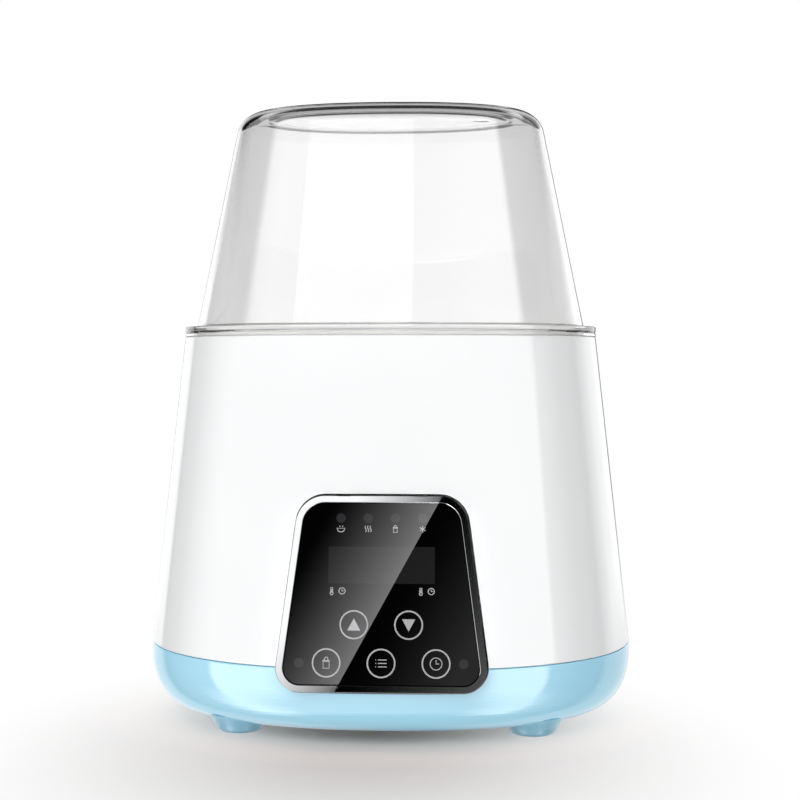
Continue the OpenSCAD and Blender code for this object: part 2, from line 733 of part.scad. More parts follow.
// Bottle basket: two drained floors with posts on a divider; a frame of two rings lies on the posts,
// and the pegs of the handle go through its bar into the divider
basket_up = 2.5;
basket_z = well_floor_z + basket_up;
basket_floor_t = 2;
bottle_x = bottle_d / 2 + divider_t / 2;
ring_r = bottle_d / 2 + basket_wall;
post_w = 6;
basket_foot_r = 3;
basket_foot_in = 7;
basket_foot_gap = 0.2;
drain_r = 9;
hole_r = 5.5;
hole_ring_r = 20;
handle_r = 9;
grip_r = 8;
grip_w = 34;
grip_below = 7;
ring_seat_h = ring_top_h - ring_h;
peg_r = 1.2;
peg_bite = 6;
peg_l = ring_h + peg_bite;
peg_y = divider_w / 2 - handle_r;
module basket_side() {
    translate([bottle_x, 0, 0]) difference() {
        union() {
            cylinder(r = ring_r, h = basket_floor_t);
            for (t = [-80 : 40 : 80]) rotate(t) translate([bottle_d / 2, -post_w / 2, 0])
                cube([basket_wall, post_w, ring_seat_h]);
            for (t = [60, 180, 300]) rotate(t)
                translate([ring_r - basket_foot_in, 0, basket_foot_gap - basket_up])
                    cylinder(r = basket_foot_r, h = basket_up);
        }
        translate([0, 0, -cut]) cylinder(r = drain_r, h = basket_floor_t + 2 * cut);
        for (t = [30 : 60 : 330]) rotate(t) translate([hole_ring_r, 0, -cut])
            cylinder(r = hole_r, h = basket_floor_t + 2 * cut);
    }
}
module handle_pegs(r, l) {
    for (s = [-1, 1]) translate([0, s * peg_y, ring_top_h - l]) cylinder(r = r, h = l + cut);
}
module bottle_basket() {
    color("white") translate([0, 0, basket_z]) difference() {
        union() {
            for (s = [0, 1]) mirror([s, 0, 0]) basket_side();
            block(divider_t, divider_w, ring_seat_h);
        }
        handle_pegs(peg_r + thread_gap, peg_l + pilot_spare / 2);
    }
}
module bottle_rings() {
    color("white") translate([0, 0, basket_z]) difference() {
        translate([0, 0, ring_seat_h]) union() {
            for (s = [-1, 1]) translate([s * bottle_x, 0, 0]) ring_of(ring_r, bottle_d / 2, ring_h);
            block(divider_t, divider_w, ring_h);
        }
        handle_pegs(peg_r + thread_gap, peg_l);
    }
}
module handle_outline() {
    difference() {
        union() {
            translate([-divider_w / 2, ring_top_h])
                square([divider_w, handle_h - handle_r - ring_top_h]);
            hull() for (s = [-1, 1]) translate([s * (divider_w / 2 - handle_r), handle_h - handle_r])
                circle(r = handle_r);
        }
        hull() for (s = [-1, 1]) translate([s * (grip_w / 2 - grip_r), handle_h - grip_below - grip_r])
            circle(r = grip_r);
    }
}
module basket_handle() {
    color("white") translate([0, 0, basket_z]) union() {
        translate([-divider_t / 2, 0, 0]) rotate([90, 0, 90]) linear_extrude(divider_t) handle_outline();
        handle_pegs(peg_r, peg_l);
    }
}

cover_dome();
housing_shell();
base_shell();
feet();
panel_bezel();
panel_glass();
light_shroud();
display_module();
indicator_leds();
touch_pads();
control_board();
buzzer();
panel_screws();
panel_cable();
water_well();
plate_seal();
heating_plate();
heating_element();
heater_clamp();
clamp_screws();
temperature_sensor();
thermal_fuse();
heater_leads();
power_board();
transformer();
relay();
capacitor();
terminal_block();
board_screws();
cord_gland();
gland_nut();
tie_screws();
bottle_basket();
bottle_rings();
basket_handle();
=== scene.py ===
import math

import bmesh
import bpy
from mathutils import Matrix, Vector


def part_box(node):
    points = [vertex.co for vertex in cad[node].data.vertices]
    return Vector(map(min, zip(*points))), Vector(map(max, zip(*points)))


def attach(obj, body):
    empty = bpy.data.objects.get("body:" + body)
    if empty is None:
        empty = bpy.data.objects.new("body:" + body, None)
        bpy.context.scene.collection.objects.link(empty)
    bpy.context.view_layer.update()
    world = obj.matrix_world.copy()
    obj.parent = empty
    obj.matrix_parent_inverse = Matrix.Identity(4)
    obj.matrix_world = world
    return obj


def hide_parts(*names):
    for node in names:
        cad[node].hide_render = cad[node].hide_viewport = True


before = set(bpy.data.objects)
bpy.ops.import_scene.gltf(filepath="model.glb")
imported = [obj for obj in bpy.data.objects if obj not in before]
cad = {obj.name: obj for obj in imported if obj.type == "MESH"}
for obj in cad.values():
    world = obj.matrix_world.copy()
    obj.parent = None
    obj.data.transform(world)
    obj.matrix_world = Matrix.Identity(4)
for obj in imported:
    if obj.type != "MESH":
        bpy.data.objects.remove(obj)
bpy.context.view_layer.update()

# Base. A bowl moulded in pale blue ABS, polished in the tool, with a plain lip that locates the
# housing. Its plan is a superellipse whose half depth is 24 mm under its half width at every
# height, and its underside rolls in on a squarish curve. Posts inside carry screws and the board.
MM = 0.001
PLAN_LESS, PLAN_POWER, PLAN_STEPS = 24, 2.3, 240
SHELL_WALL, MOULD_EDGE = 2.4, 0.3
BRACE = 0.15

base_low, base_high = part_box("base_shell")
housing_low, housing_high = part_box("housing_shell")
body_half = housing_high.x / MM
seam_z = housing_low.z / MM
rim_z = housing_high.z / MM
cover_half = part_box("cover_dome")[1].x / MM
base_z = base_low.z / MM
lip_z = base_high.z / MM
roll_width, roll_height, roll_power = 17, 22, 2.3
lip_inset = 1.3


def plan_ring(half_width, height):
    """One level of the body's plan, in metres."""
    def side(half, value):
        return half * MM * math.copysign(abs(value) ** (2 / PLAN_POWER), value)
    turns = [2 * math.pi * step / PLAN_STEPS for step in range(PLAN_STEPS)]
    return [(side(half_width, math.cos(t)), side(half_width - PLAN_LESS, math.sin(t)), height * MM)
            for t in turns]


def arc(across, up, radius, start, end, steps=8):
    """Points of a round edge in a wall's section, from one angle to another in degrees."""
    angles = [math.radians(start + (end - start) * step / steps) for step in range(steps + 1)]
    return [(across + radius * math.cos(a), up + radius * math.sin(a)) for a in angles]


def loft(rings, closed=False):
    """Closed skin through rings of as many points each: capped at both ends, or joined end to end."""
    skin = bmesh.new()
    rows = [[skin.verts.new(point) for point in ring] for ring in rings]
    for low, high in zip(rows, rows[1:] + rows[:1] if closed else rows[1:]):
        for here in range(len(low)):
            after = (here + 1) % len(low)
            skin.faces.new((low[here], low[after], high[after], high[here]))
    if not closed:
        skin.faces.new(rows[0][::-1])
        skin.faces.new(rows[-1])
    return skin


def braced(section, closed):
    """The section with a close point at each end of a long straight stretch, so that it shades flat."""
    points = []
    for start, end in zip(section, section[1:] + section[:1] if closed else section[1:]):
        span = math.dist(start, end)
        shares = (0, BRACE / span, 1 - BRACE / span) if span > 6 * BRACE else (0,)
        points += [tuple(a + (b - a) * share for a, b in zip(start, end)) for share in shares]
    return points if closed else points + section[-1:]


def wall(section, closed=False):
    """A moulded wall: its section, as half width and height in millimetres, run round the plan."""
    return loft([plan_ring(half, height) for half, height in braced(section, closed)], closed)


def roll(inset, rise, steps=22):
    """The rolled underside, from its flat floor up to the straight wall."""
    turns = [math.pi / 2 * (1 - step / steps) for step in range(steps + 1)]
    return [(body_half - inset - (roll_width - inset) * (1 - math.cos(t) ** (2 / roll_power)),
             base_z + roll_height - (roll_height - rise) * math.sin(t) ** (2 / roll_power))
            for t in turns]


base_wall = wall(
    roll(0, 0) + arc(body_half - MOULD_EDGE, seam_z - MOULD_EDGE, MOULD_EDGE, 0, 90, 4)
    + [(body_half - lip_inset, seam_z), (body_half - lip_inset, lip_z), (body_half - SHELL_WALL, lip_z)]
    + roll(SHELL_WALL, SHELL_WALL)[::-1])

# The gland stands on a flat round boss at the back; the tie screws sit in deep round pockets, and
# the power board stands on four hollow posts. A cutting tool runs past the face that it opens.
OVERCUT, PILOT = 1, 1.2
gland_low, gland_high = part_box("cord_gland")
gland_z = (gland_low.z + gland_high.z) / 2 / MM
boss_face = base_high.y / MM
boss_deep, boss_radius, gland_bore = 9.2, 9, 5.65
tie_head, tie_head_tall, board_head = 3.1, 2.4, 2.5
tie_post, tie_pocket, tie_bore, board_post = 5, 3.4, 1.8, 3.4
tie_low, tie_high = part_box("tie_screws")
tie_places = [(sx * (tie_high.x / MM - tie_head), sy * (tie_high.y / MM - tie_head))
              for sx in (-1, 1) for sy in (-1, 1)]
tie_seat = tie_low.z / MM + tie_head_tall
screws_low, screws_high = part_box("board_screws")
board_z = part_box("power_board")[0].z / MM
post_places = [(sx * (screws_high.x / MM - board_head), y) for sx in (-1, 1)
               for y in (screws_low.y / MM + board_head, screws_high.y / MM - board_head)]
post_foot = base_z + SHELL_WALL / 2


def rod(start, end, radius, steps=48):
    """A round bar between two points, in millimetres, that cuts a hole or stands as a boss."""
    axis = (Vector(end) - Vector(start)).normalized()
    across = axis.orthogonal().normalized()
    over = axis.cross(across)
    turns = [2 * math.pi * step / steps for step in range(steps)]
    return loft([[(Vector(at) + radius * (across * math.cos(t) + over * math.sin(t))) * MM
                  for t in turns] for at in (start, end)])


def carved(name, skin, tools, operation="DIFFERENCE"):
    """The skin with each tool taken away from it, or joined to it."""
    helpers = []
    for one in [skin, *tools]:
        mesh = bpy.data.meshes.new(name)
        one.to_mesh(mesh)
        one.free()
        helpers.append(bpy.data.objects.new(name, mesh))
        bpy.context.collection.objects.link(helpers[-1])
    for tool in helpers[1:]:
        step = helpers[0].modifiers.new("carve", "BOOLEAN")
        step.operation, step.solver, step.object = operation, "EXACT", tool
    left = bmesh.new()
    left.from_object(helpers[0], bpy.context.evaluated_depsgraph_get())
    for helper in helpers:
        bpy.data.objects.remove(helper)
    return left


base_wall = carved("base", base_wall, [
    rod((0, boss_face - boss_deep, gland_z), (0, boss_face, gland_z), boss_radius),
    *[rod((x, y, post_foot), (x, y, lip_z), tie_post) for x, y in tie_places],
    *[rod((x, y, post_foot), (x, y, board_z), board_post) for x, y in post_places]], "UNION")

# The panel frame's opening runs up from the base into the housing, so its place and outline are
# given here: it leans back with the housing's front and is wider at its foot.
OPENING_FIT, OPENING_DEEP, OPENING_AHEAD = 0.55, 14, 6
housing_lean = math.atan((body_half - cover_half) / (rim_z - seam_z))
panel_middle, panel_proud = 55, 1.8
panel_tall, panel_top, panel_bottom = 68, 58.2, 75.8
panel_top_round, panel_bottom_round = 10.5, 8.5


def housing_half(height):
    """Half the width of the housing's outer wall at a height."""
    return body_half - (height - seam_z) * math.tan(housing_lean)


def panel_place(x, depth, up):
    """A point of the front panel: sideways, into the body from its face, and up along its slope."""
    face = -(housing_half(panel_middle) - PLAN_LESS + panel_proud)
    return (x * MM, (face + depth * math.cos(housing_lean) + up * math.sin(housing_lean)) * MM,
            (panel_middle - depth * math.sin(housing_lean) + up * math.cos(housing_lean)) * MM)


def panel_outline(inset, steps=14):
    """The panel's outline, drawn in by so much: a trapezium with wider corners at its top."""
    lean = math.atan((panel_bottom - panel_top) / 2 / panel_tall)

    def corner(up, radius, start, end):
        centre = panel_bottom / 2 - (up + panel_tall / 2) * math.tan(lean) - radius / math.cos(lean)
        return arc(centre, up, radius - inset, start, end, steps)
    right = (corner(panel_bottom_round - panel_tall / 2, panel_bottom_round, -90, math.degrees(lean))
             + corner(panel_tall / 2 - panel_top_round, panel_top_round, math.degrees(lean), 90))
    return right + [(-x, up) for x, up in right[::-1]]


def panel_loft(section, closed=False):
    """A skin whose section, as inset and depth, is run round the panel's outline."""
    return loft([[panel_place(x, depth, up) for x, up in panel_outline(inset)]
                 for inset, depth in braced(section, closed)], closed)


def panel_opening():
    """The plug that cuts the panel frame's opening."""
    return panel_loft([(-OPENING_FIT, OPENING_DEEP), (-OPENING_FIT, -OPENING_AHEAD)])


base_wall = carved("base", base_wall, [
    panel_opening(),
    rod((0, boss_face - 2 * boss_deep, gland_z), (0, boss_face + boss_deep, gland_z), gland_bore),
    *[rod((x, y, base_z - OVERCUT), (x, y, tie_seat), tie_pocket) for x, y in tie_places],
    *[rod((x, y, base_z), (x, y, lip_z + OVERCUT), tie_bore) for x, y in tie_places],
    *[rod((x, y, base_z + SHELL_WALL), (x, y, board_z + OVERCUT), PILOT) for x, y in post_places]])


def linear(code):
    """An sRGB hex colour as linear red, green, blue and alpha."""
    shares = [int(code[at:at + 2], 16) / 255 for at in (1, 3, 5)]
    return [s / 12.92 if s <= 0.04045 else ((s + 0.055) / 1.055) ** 2.4 for s in shares] + [1]


def add(tree, kind, sockets=None, **settings):
    """Adds a node, sets its settings, and fills or links its input sockets."""
    node = tree.nodes.new(kind)
    for name, value in settings.items():
        setattr(node, name, value)
    for name, value in (sockets or {}).items():
        if isinstance(value, bpy.types.NodeSocket):
            tree.links.new(value, node.inputs[name])
        else:
            node.inputs[name].default_value = value
    return node


def blank(name):
    """A new material with an empty tree."""
    finish = bpy.data.materials.new(name)
    finish.use_nodes = True
    finish.node_tree.nodes.clear()
    return finish, finish.node_tree


def moulded(name, pale, deep, rough, grain, relief, ior=1.53):
    """Injection-moulded plastic: the colour drifts a little along the flow of the melt over some 60 mm,
    the polish wanders between two roughnesses, and the tool leaves a grain of so many millimetres."""
    flow_run, polish_run = 60, 9
    finish, tree = blank(name)
    place = add(tree, "ShaderNodeTexCoord").outputs["Object"]
    flow = add(tree, "ShaderNodeTexNoise", {"Vector": place, "Scale": 1 / (flow_run * MM), "Detail": 3})
    tint = add(tree, "ShaderNodeMixRGB", {
        "Fac": flow.outputs["Fac"], "Color1": linear(pale), "Color2": linear(deep)})
    polish = add(tree, "ShaderNodeTexNoise", {
        "Vector": place, "Scale": 1 / (polish_run * MM), "Detail": 4})
    gloss = add(tree, "ShaderNodeMapRange", {
        "Value": polish.outputs["Fac"], "To Min": rough[0], "To Max": rough[1]})
    tooth = add(tree, "ShaderNodeTexNoise", {"Vector": place, "Scale": 1 / (grain * MM), "Detail": 2})
    bump = add(tree, "ShaderNodeBump", {
        "Height": tooth.outputs["Fac"], "Strength": 0.4, "Distance": relief * MM})
    shader = add(tree, "ShaderNodeBsdfPrincipled", {
        "Base Color": tint.outputs["Color"], "Roughness": gloss.outputs["Result"],
        "Normal": bump.outputs["Normal"], "IOR": ior})
    add(tree, "ShaderNodeOutputMaterial", {"Surface": shader.outputs["BSDF"]})
    return finish


def put(name, skin, finish, body, slot, *stands_for, crease=32):
    """Puts a finished piece in the scene: its material, its soft shading, and the body it moves with."""
    mesh = skin if isinstance(skin, bpy.types.Mesh) else bpy.data.meshes.new(name)
    if mesh is not skin:
        skin.to_mesh(mesh)
        skin.free()
    piece = bpy.data.objects.new(name, mesh)
    bpy.context.collection.objects.link(piece)
    mesh.materials.clear()
    mesh.materials.append(finish)
    mesh.shade_smooth()
    mesh.set_sharp_from_angle(angle=math.radians(crease))
    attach(piece, body)
    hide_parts(*stands_for)
    return piece


# Polished ABS gives a clear sky blue that mirrors the studio sharply.
abs_blue = moulded("ABS_pale_blue_polished", "#B4E9FE", "#AEE6FD", (0.03, 0.06), 0.7, 0.002)
put("base_bowl", base_wall, abs_blue, "base", "blue_gloss", "base_shell")

# Feet. Flared stubs of the base's blue ABS under the corners of the base, painted a deeper blue as shade,
# each with a small round at the floor; they flare out as they meet the rolled underside. Their satin skin
# shows no sharp reflection.
foot_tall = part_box("feet")[1].z / MM
foot_flare, foot_x, foot_y = 12.6, 53.8, 37.5
foot_profile = [(0, 0.62), (0.05, 0.66), (0.12, 0.69), (0.35, 0.76), (0.7, 0.885), (1, 1)]
# A darker copy of the base's blue: the deeper colour is painted shade on the feet.
abs_foot_painted_shade = moulded("ABS_blue_satin_painted_shade", "#98CDE3", "#92C8DF", (0.22, 0.32), 0.7, 0.004)

foot_tree = bpy.data.node_groups.new("flared_feet", "GeometryNodeTree")
foot_tree.interface.new_socket("Places", in_out="INPUT", socket_type="NodeSocketGeometry")
foot_sizes = {name: foot_tree.interface.new_socket(name, in_out="INPUT", socket_type="NodeSocketFloat")
              for name in ("Flare radius", "Height")}
foot_tree.interface.new_socket("Feet", in_out="OUTPUT", socket_type="NodeSocketGeometry")
foot_given = add(foot_tree, "NodeGroupInput")
stub = add(foot_tree, "GeometryNodeMeshCylinder", {
    "Vertices": 64, "Side Segments": 16, "Radius": foot_given.outputs["Flare radius"],
    "Depth": foot_given.outputs["Height"]})
stub_place = add(foot_tree, "GeometryNodeInputPosition")
stub_axes = add(foot_tree, "ShaderNodeSeparateXYZ", {"Vector": stub_place.outputs["Position"]})
from_middle = add(foot_tree, "ShaderNodeMath", {
    0: stub_axes.outputs["Z"], 1: foot_given.outputs["Height"]}, operation="DIVIDE")
from_floor = add(foot_tree, "ShaderNodeMath", {0: from_middle.outputs[0], 1: 0.5}, operation="ADD")
flare = add(foot_tree, "ShaderNodeFloatCurve", {"Value": from_floor.outputs[0]})
flare_curve = flare.mapping.curves[0]
flare_curve.points[0].location = foot_profile[0]
flare_curve.points[1].location = foot_profile[-1]
for height_share, radius_share in foot_profile[1:-1]:
    flare_curve.points.new(height_share, radius_share)
flare.mapping.update()
widths = add(foot_tree, "ShaderNodeCombineXYZ", {
    "X": flare.outputs[0], "Y": flare.outputs[0], "Z": 1.0})
narrowed = add(foot_tree, "ShaderNodeVectorMath", {
    0: stub_place.outputs["Position"], 1: widths.outputs[0]}, operation="MULTIPLY")
shaped = add(foot_tree, "GeometryNodeSetPosition", {
    "Geometry": stub.outputs["Mesh"], "Position": narrowed.outputs[0]})
spread = add(foot_tree, "GeometryNodeInstanceOnPoints", {
    "Points": foot_given.outputs["Places"], "Instance": shaped.outputs[0]})
real_feet = add(foot_tree, "GeometryNodeRealizeInstances", {"Geometry": spread.outputs[0]})
dressed_feet = add(foot_tree, "GeometryNodeSetMaterial", {
    "Geometry": real_feet.outputs[0], "Material": abs_foot_painted_shade})
add(foot_tree, "NodeGroupOutput", {"Feet": dressed_feet.outputs[0]})


def grown(name, points, edges, tree, sizes):
    """The plain mesh that a Geometry Nodes tree grows from points and edges, with its sizes set."""
    seed = bpy.data.meshes.new(name)
    seed.from_pydata(points, edges, [])
    holder = bpy.data.objects.new(name, seed)
    bpy.context.collection.objects.link(holder)
    step = holder.modifiers.new(tree.name, "NODES")
    step.node_group = tree
    for socket, value in sizes.items():
        step[socket.identifier] = value
    mesh = bpy.data.meshes.new_from_object(
        holder.evaluated_get(bpy.context.evaluated_depsgraph_get()))
    holder.modifiers.remove(step)
    bpy.data.objects.remove(holder)
    mesh.name = name
    return mesh


foot_places = [(sx * foot_x * MM, sy * foot_y * MM, foot_tall * MM / 2)
               for sx in (-1, 1) for sy in (-1, 1)]
put("flared_feet", grown("flared_feet", foot_places, [], foot_tree, {
    foot_sizes["Flare radius"]: foot_flare * MM, foot_sizes["Height"]: foot_tall * MM}),
    abs_foot_painted_shade, "base", "blue_gloss", "feet")

# Power electronics in the base. A glass-epoxy board with green solder mask carries the taped
# transformer, the relay, the capacitor and the screw terminals; steel screws hold it on its posts.
# A black nylon gland, drawn tight by its nut, lines the bore at the back.


def finish_nodes(finish, *names):
    """Gives CAD pieces whose shape is right their material."""
    for name in names:
        cad[name].data.materials.clear()
        cad[name].data.materials.append(finish)


def solder_mask():
    """Glass epoxy under solder mask: a dark glossy green with paler lines where the copper runs."""
    track_pitch = 6
    finish, tree = blank("FR4_green_solder_mask")
    place = add(tree, "ShaderNodeTexCoord").outputs["Object"]
    tracks = add(tree, "ShaderNodeTexBrick", {
        "Vector": place, "Scale": 1 / (track_pitch * MM), "Mortar Size": 0.06,
        "Color1": linear("#0E4A26"), "Color2": linear("#125530"), "Mortar": linear("#1E6B3E")})
    shader = add(tree, "ShaderNodeBsdfPrincipled", {
        "Base Color": tracks.outputs["Color"], "Roughness": 0.35})
    add(tree, "ShaderNodeOutputMaterial", {"Surface": shader.outputs["BSDF"]})
    return finish


def polished(name, code, rough, wander, detail, sockets):
    """A smooth surface of one colour, whose polish wanders between two roughnesses over so many
    millimetres, so that what it mirrors is here a little sharper and there a little softer."""
    finish, tree = blank(name)
    place = add(tree, "ShaderNodeTexCoord").outputs["Object"]
    drift = add(tree, "ShaderNodeTexNoise", {
        "Vector": place, "Scale": 1 / (wander * MM), "Detail": detail})
    gloss = add(tree, "ShaderNodeMapRange", {
        "Value": drift.outputs["Fac"], "To Min": rough[0], "To Max": rough[1]})
    shader = add(tree, "ShaderNodeBsdfPrincipled", {
        "Base Color": linear(code), "Roughness": gloss.outputs["Result"], **sockets})
    add(tree, "ShaderNodeOutputMaterial", {"Surface": shader.outputs["BSDF"]})
    return finish


board_mask = solder_mask()
finish_nodes(board_mask, "power_board")
# Zinc plate gives a cloudy grey with a soft metal shine.
steel = polished("steel_zinc_plated", "#C9CBCC", (0.22, 0.42), 2, 4, {"Metallic": 1.0})
finish_nodes(steel, "board_screws")
finish_nodes(moulded("polyester_tape_yellow", "#D9B23A", "#C9A22E", (0.3, 0.45), 1.2, 0.03),
             "transformer")
finish_nodes(moulded("PBT_blue_relay_case", "#1F4C8F", "#1B4380", (0.3, 0.4), 0.6, 0.01), "relay")
pvc_black = moulded("PVC_sleeve_black", "#202022", "#19191A", (0.25, 0.35), 0.8, 0.01)
finish_nodes(pvc_black, "capacitor")
finish_nodes(moulded("polyamide_green_terminals", "#2F7A55", "#2A6D4C", (0.35, 0.5), 0.6, 0.01),
             "terminal_block")
finish_nodes(moulded("nylon_black_moulded", "#1C1C1D", "#161617", (0.4, 0.55), 0.5, 0.02),
             "cord_gland", "gland_nut")

# Housing. A tall drafted oval tube moulded in white ABS and polished, with a rounded shoulder and a
# ledge inside its top for the well; the front is open for the panel frame.
REST_GAP = 0.05
SHADOW_GAP = 0.35
LIP_FIT = 0.2
shoulder = 0.7
rim_land, ledge_width, ledge_thick, well_flange = 2.2, 2.2, 2.5, 2.2
ledge_z = rim_z - well_flange
ledge_under = ledge_z - ledge_thick
ledge_half = cover_half - rim_land - ledge_width
lip_room = lip_z + LIP_FIT
lip_half = body_half - lip_inset + LIP_FIT


def fillet(half, height, lean, radius, steps=10):
    """Round edge between a wall that leans in and a level top that would meet at a corner."""
    across = half + radius * math.tan(lean) - radius / math.cos(lean)
    return arc(across, height - radius, radius, math.degrees(lean), 90, steps)


housing_wall = wall(
    arc(body_half - MOULD_EDGE, seam_z + SHADOW_GAP + MOULD_EDGE, MOULD_EDGE, -90, 0, 4)
    + fillet(cover_half, rim_z - REST_GAP, housing_lean, shoulder)
    + [(cover_half - rim_land, rim_z - REST_GAP), (cover_half - rim_land, ledge_z), (ledge_half, ledge_z),
       (ledge_half, ledge_under), (housing_half(ledge_under) - SHELL_WALL, ledge_under),
       (housing_half(lip_room) - SHELL_WALL, lip_room), (lip_half, lip_room),
       (lip_half, seam_z + SHADOW_GAP)], closed=True)
housing_wall = carved("housing", housing_wall, [panel_opening()])
# Polished ABS gives a cool pure white that mirrors the studio sharply.
abs_white = moulded("ABS_white_polished", "#F7F8F8", "#F3F4F5", (0.03, 0.06), 0.7, 0.002)
put("housing_wall", housing_wall, abs_white, "base", "white_gloss", "housing_shell")

# Panel frame. A ring of chrome-plated ABS pushed into the front: a flat bright face with chamfered
# edges, and two clip notches in its top edge. The skirt round its lower end is masked from the
# plating, so that it stays black ABS and a soft shade falls on the base.
frame_wide, frame_deep, shelf, shelf_at = 2.5, 10.2, 2.2, 8.7
face_in, outer_chamfer, inner_chamfer = 0.06, 0.3, 0.12
rebate, skirt_gap, skirt_end = 0.25, 0.02, -26
clip_x, clip_half, clip_deep = 13.4, 2.55, 0.4
brow = face_in + outer_chamfer
bright_frame = panel_loft(
    [(frame_wide + shelf, frame_deep), (rebate, frame_deep), (rebate, brow), (0, brow),
     (outer_chamfer, face_in), (frame_wide - inner_chamfer, face_in),
     (frame_wide, face_in + inner_chamfer), (frame_wide, shelf_at), (frame_wide + shelf, shelf_at)],
    closed=True)
lower_skirt = panel_loft(
    [(rebate - skirt_gap, frame_deep), (0, frame_deep), (0, brow + skirt_gap),
     (rebate - skirt_gap, brow + skirt_gap)], closed=True)


def panel_slab(low, high):
    """A block through the panel frame between two corners, as sideways and up on the panel."""
    corners = [(low[0], low[1]), (high[0], low[1]), (high[0], high[1]), (low[0], high[1])]
    return loft([[panel_place(x, depth, up) for x, up in corners]
                 for depth in (frame_deep + OVERCUT, -OVERCUT)])


clip_notches = [panel_slab((side * clip_x - clip_half, panel_tall / 2 - clip_deep),
                           (side * clip_x + clip_half, panel_tall / 2 + OVERCUT)) for side in (-1, 1)]
bright_frame = carved("panel_frame", bright_frame, clip_notches)
lower_skirt = carved("frame_lower_skirt", lower_skirt, [
    panel_slab((-panel_bottom, skirt_end), (panel_bottom, panel_tall))])
# Bare ABS is a dull black; the chrome is a clean mirror with a faint haze.
abs_black = moulded("ABS_black_unplated", "#1E1F20", "#19191A", (0.5, 0.65), 0.6, 0.01)
put("frame_lower_skirt", lower_skirt, abs_black, "base", "black_plastic")
chrome = polished("chrome_plated_ABS", "#EDEEF0", (0.02, 0.05), 5, 3, {"Metallic": 1.0})
put("panel_frame", bright_frame, chrome, "base", "chrome_trim", "panel_bezel")

# Touch glass. One flat pane, printed black on its back so that the lamps and the display show only
# faintly through it, with a fine ground chamfer round its edge. It mirrors like still dark water.
glass_in, glass_thick, glass_fit, ground_edge = 0.3, 1.8, 0.1, 0.3
pane = panel_loft([
    (frame_wide + glass_fit, glass_in + glass_thick), (frame_wide + glass_fit, glass_in + ground_edge),
    (frame_wide + glass_fit + ground_edge, glass_in)])
black_glass = polished("soda_glass_black_back_print", "#030303", (0.004, 0.012), 14, 5, {"IOR": 1.52})
put("touch_pane", pane, black_glass, "base", "black_glass", "panel_glass", crease=20)

# Printing on the glass. Pale ink rings mark the touch keys, with arrows and plain picture signs for
# the functions; the display and the lamps are faint grey windows. All of it is a film of ink.
PITCH = 9.5
INK, SMOKED_FILM = 0.03, 0.012
RING_STROKE, SIGN_STROKE = 0.52, 0.3
lamp_row, display_row, arrow_row, key_row = 26, 9.8, -10.7, -23.8
ring_radius, lamp_radius = 4.75, 1.65
display_wide, display_tall = 18.5, 6.35
key_places = [(-PITCH, arrow_row), (PITCH, arrow_row), (-2 * PITCH, key_row), (0, key_row),
              (2 * PITCH, key_row)]


def ink(name, code, rough):
    """Screen ink under glass: an even film, a little mottled where the mesh of the screen was."""
    mesh_pitch, mottle_depth = 0.8, 0.86
    finish, tree = blank(name)
    place = add(tree, "ShaderNodeTexCoord").outputs["Object"]
    mottle = add(tree, "ShaderNodeTexNoise", {
        "Vector": place, "Scale": 1 / (mesh_pitch * MM), "Detail": 2})
    shade = add(tree, "ShaderNodeMixRGB", {
        "Fac": mottle.outputs["Fac"], "Color1": linear(code),
        "Color2": [mottle_depth * share for share in linear(code)[:3]] + [1]})
    shader = add(tree, "ShaderNodeBsdfPrincipled", {
        "Base Color": shade.outputs["Color"], "Roughness": rough, "IOR": 1.52})
    add(tree, "ShaderNodeOutputMaterial", {"Surface": shader.outputs["BSDF"]})
    return finish


pale_ink = ink("screen_ink_pale_grey", "#BDBDBF", 0.02)
ink_tree = bpy.data.node_groups.new("printed_strokes", "GeometryNodeTree")
ink_tree.interface.new_socket("Lines", in_out="INPUT", socket_type="NodeSocketGeometry")
ink_sizes = {name: ink_tree.interface.new_socket(name, in_out="INPUT", socket_type="NodeSocketFloat")
             for name in ("Stroke", "Film")}
ink_tree.interface.new_socket("Print", in_out="OUTPUT", socket_type="NodeSocketGeometry")
ink_given = add(ink_tree, "NodeGroupInput")
line = add(ink_tree, "GeometryNodeMeshToCurve", {"Mesh": ink_given.outputs["Lines"]})
half_stroke = add(ink_tree, "ShaderNodeMath", {
    0: ink_given.outputs["Stroke"], 1: 0.5}, operation="MULTIPLY")
nib = add(ink_tree, "GeometryNodeCurvePrimitiveCircle", {
    "Resolution": 8, "Radius": half_stroke.outputs[0]})
drawn = add(ink_tree, "GeometryNodeCurveToMesh", {
    "Curve": line.outputs["Curve"], "Profile Curve": nib.outputs["Curve"], "Fill Caps": True})
thin = add(ink_tree, "ShaderNodeMath", {
    0: ink_given.outputs["Film"], 1: ink_given.outputs["Stroke"]}, operation="DIVIDE")
press = add(ink_tree, "ShaderNodeCombineXYZ", {"X": 1.0, "Y": 1.0, "Z": thin.outputs[0]})
pressed = add(ink_tree, "GeometryNodeTransform", {
    "Geometry": drawn.outputs["Mesh"], "Scale": press.outputs[0]})
real_ink = add(ink_tree, "GeometryNodeRealizeInstances", {"Geometry": pressed.outputs[0]})
dressed_ink = add(ink_tree, "GeometryNodeSetMaterial", {
    "Geometry": real_ink.outputs[0], "Material": pale_ink})
add(ink_tree, "NodeGroupOutput", {"Print": dressed_ink.outputs[0]})


def round_line(x, up, radius, steps=40):
    """A full circle whose last point lies on its first."""
    return arc(x, up, radius, 0, 360, steps)


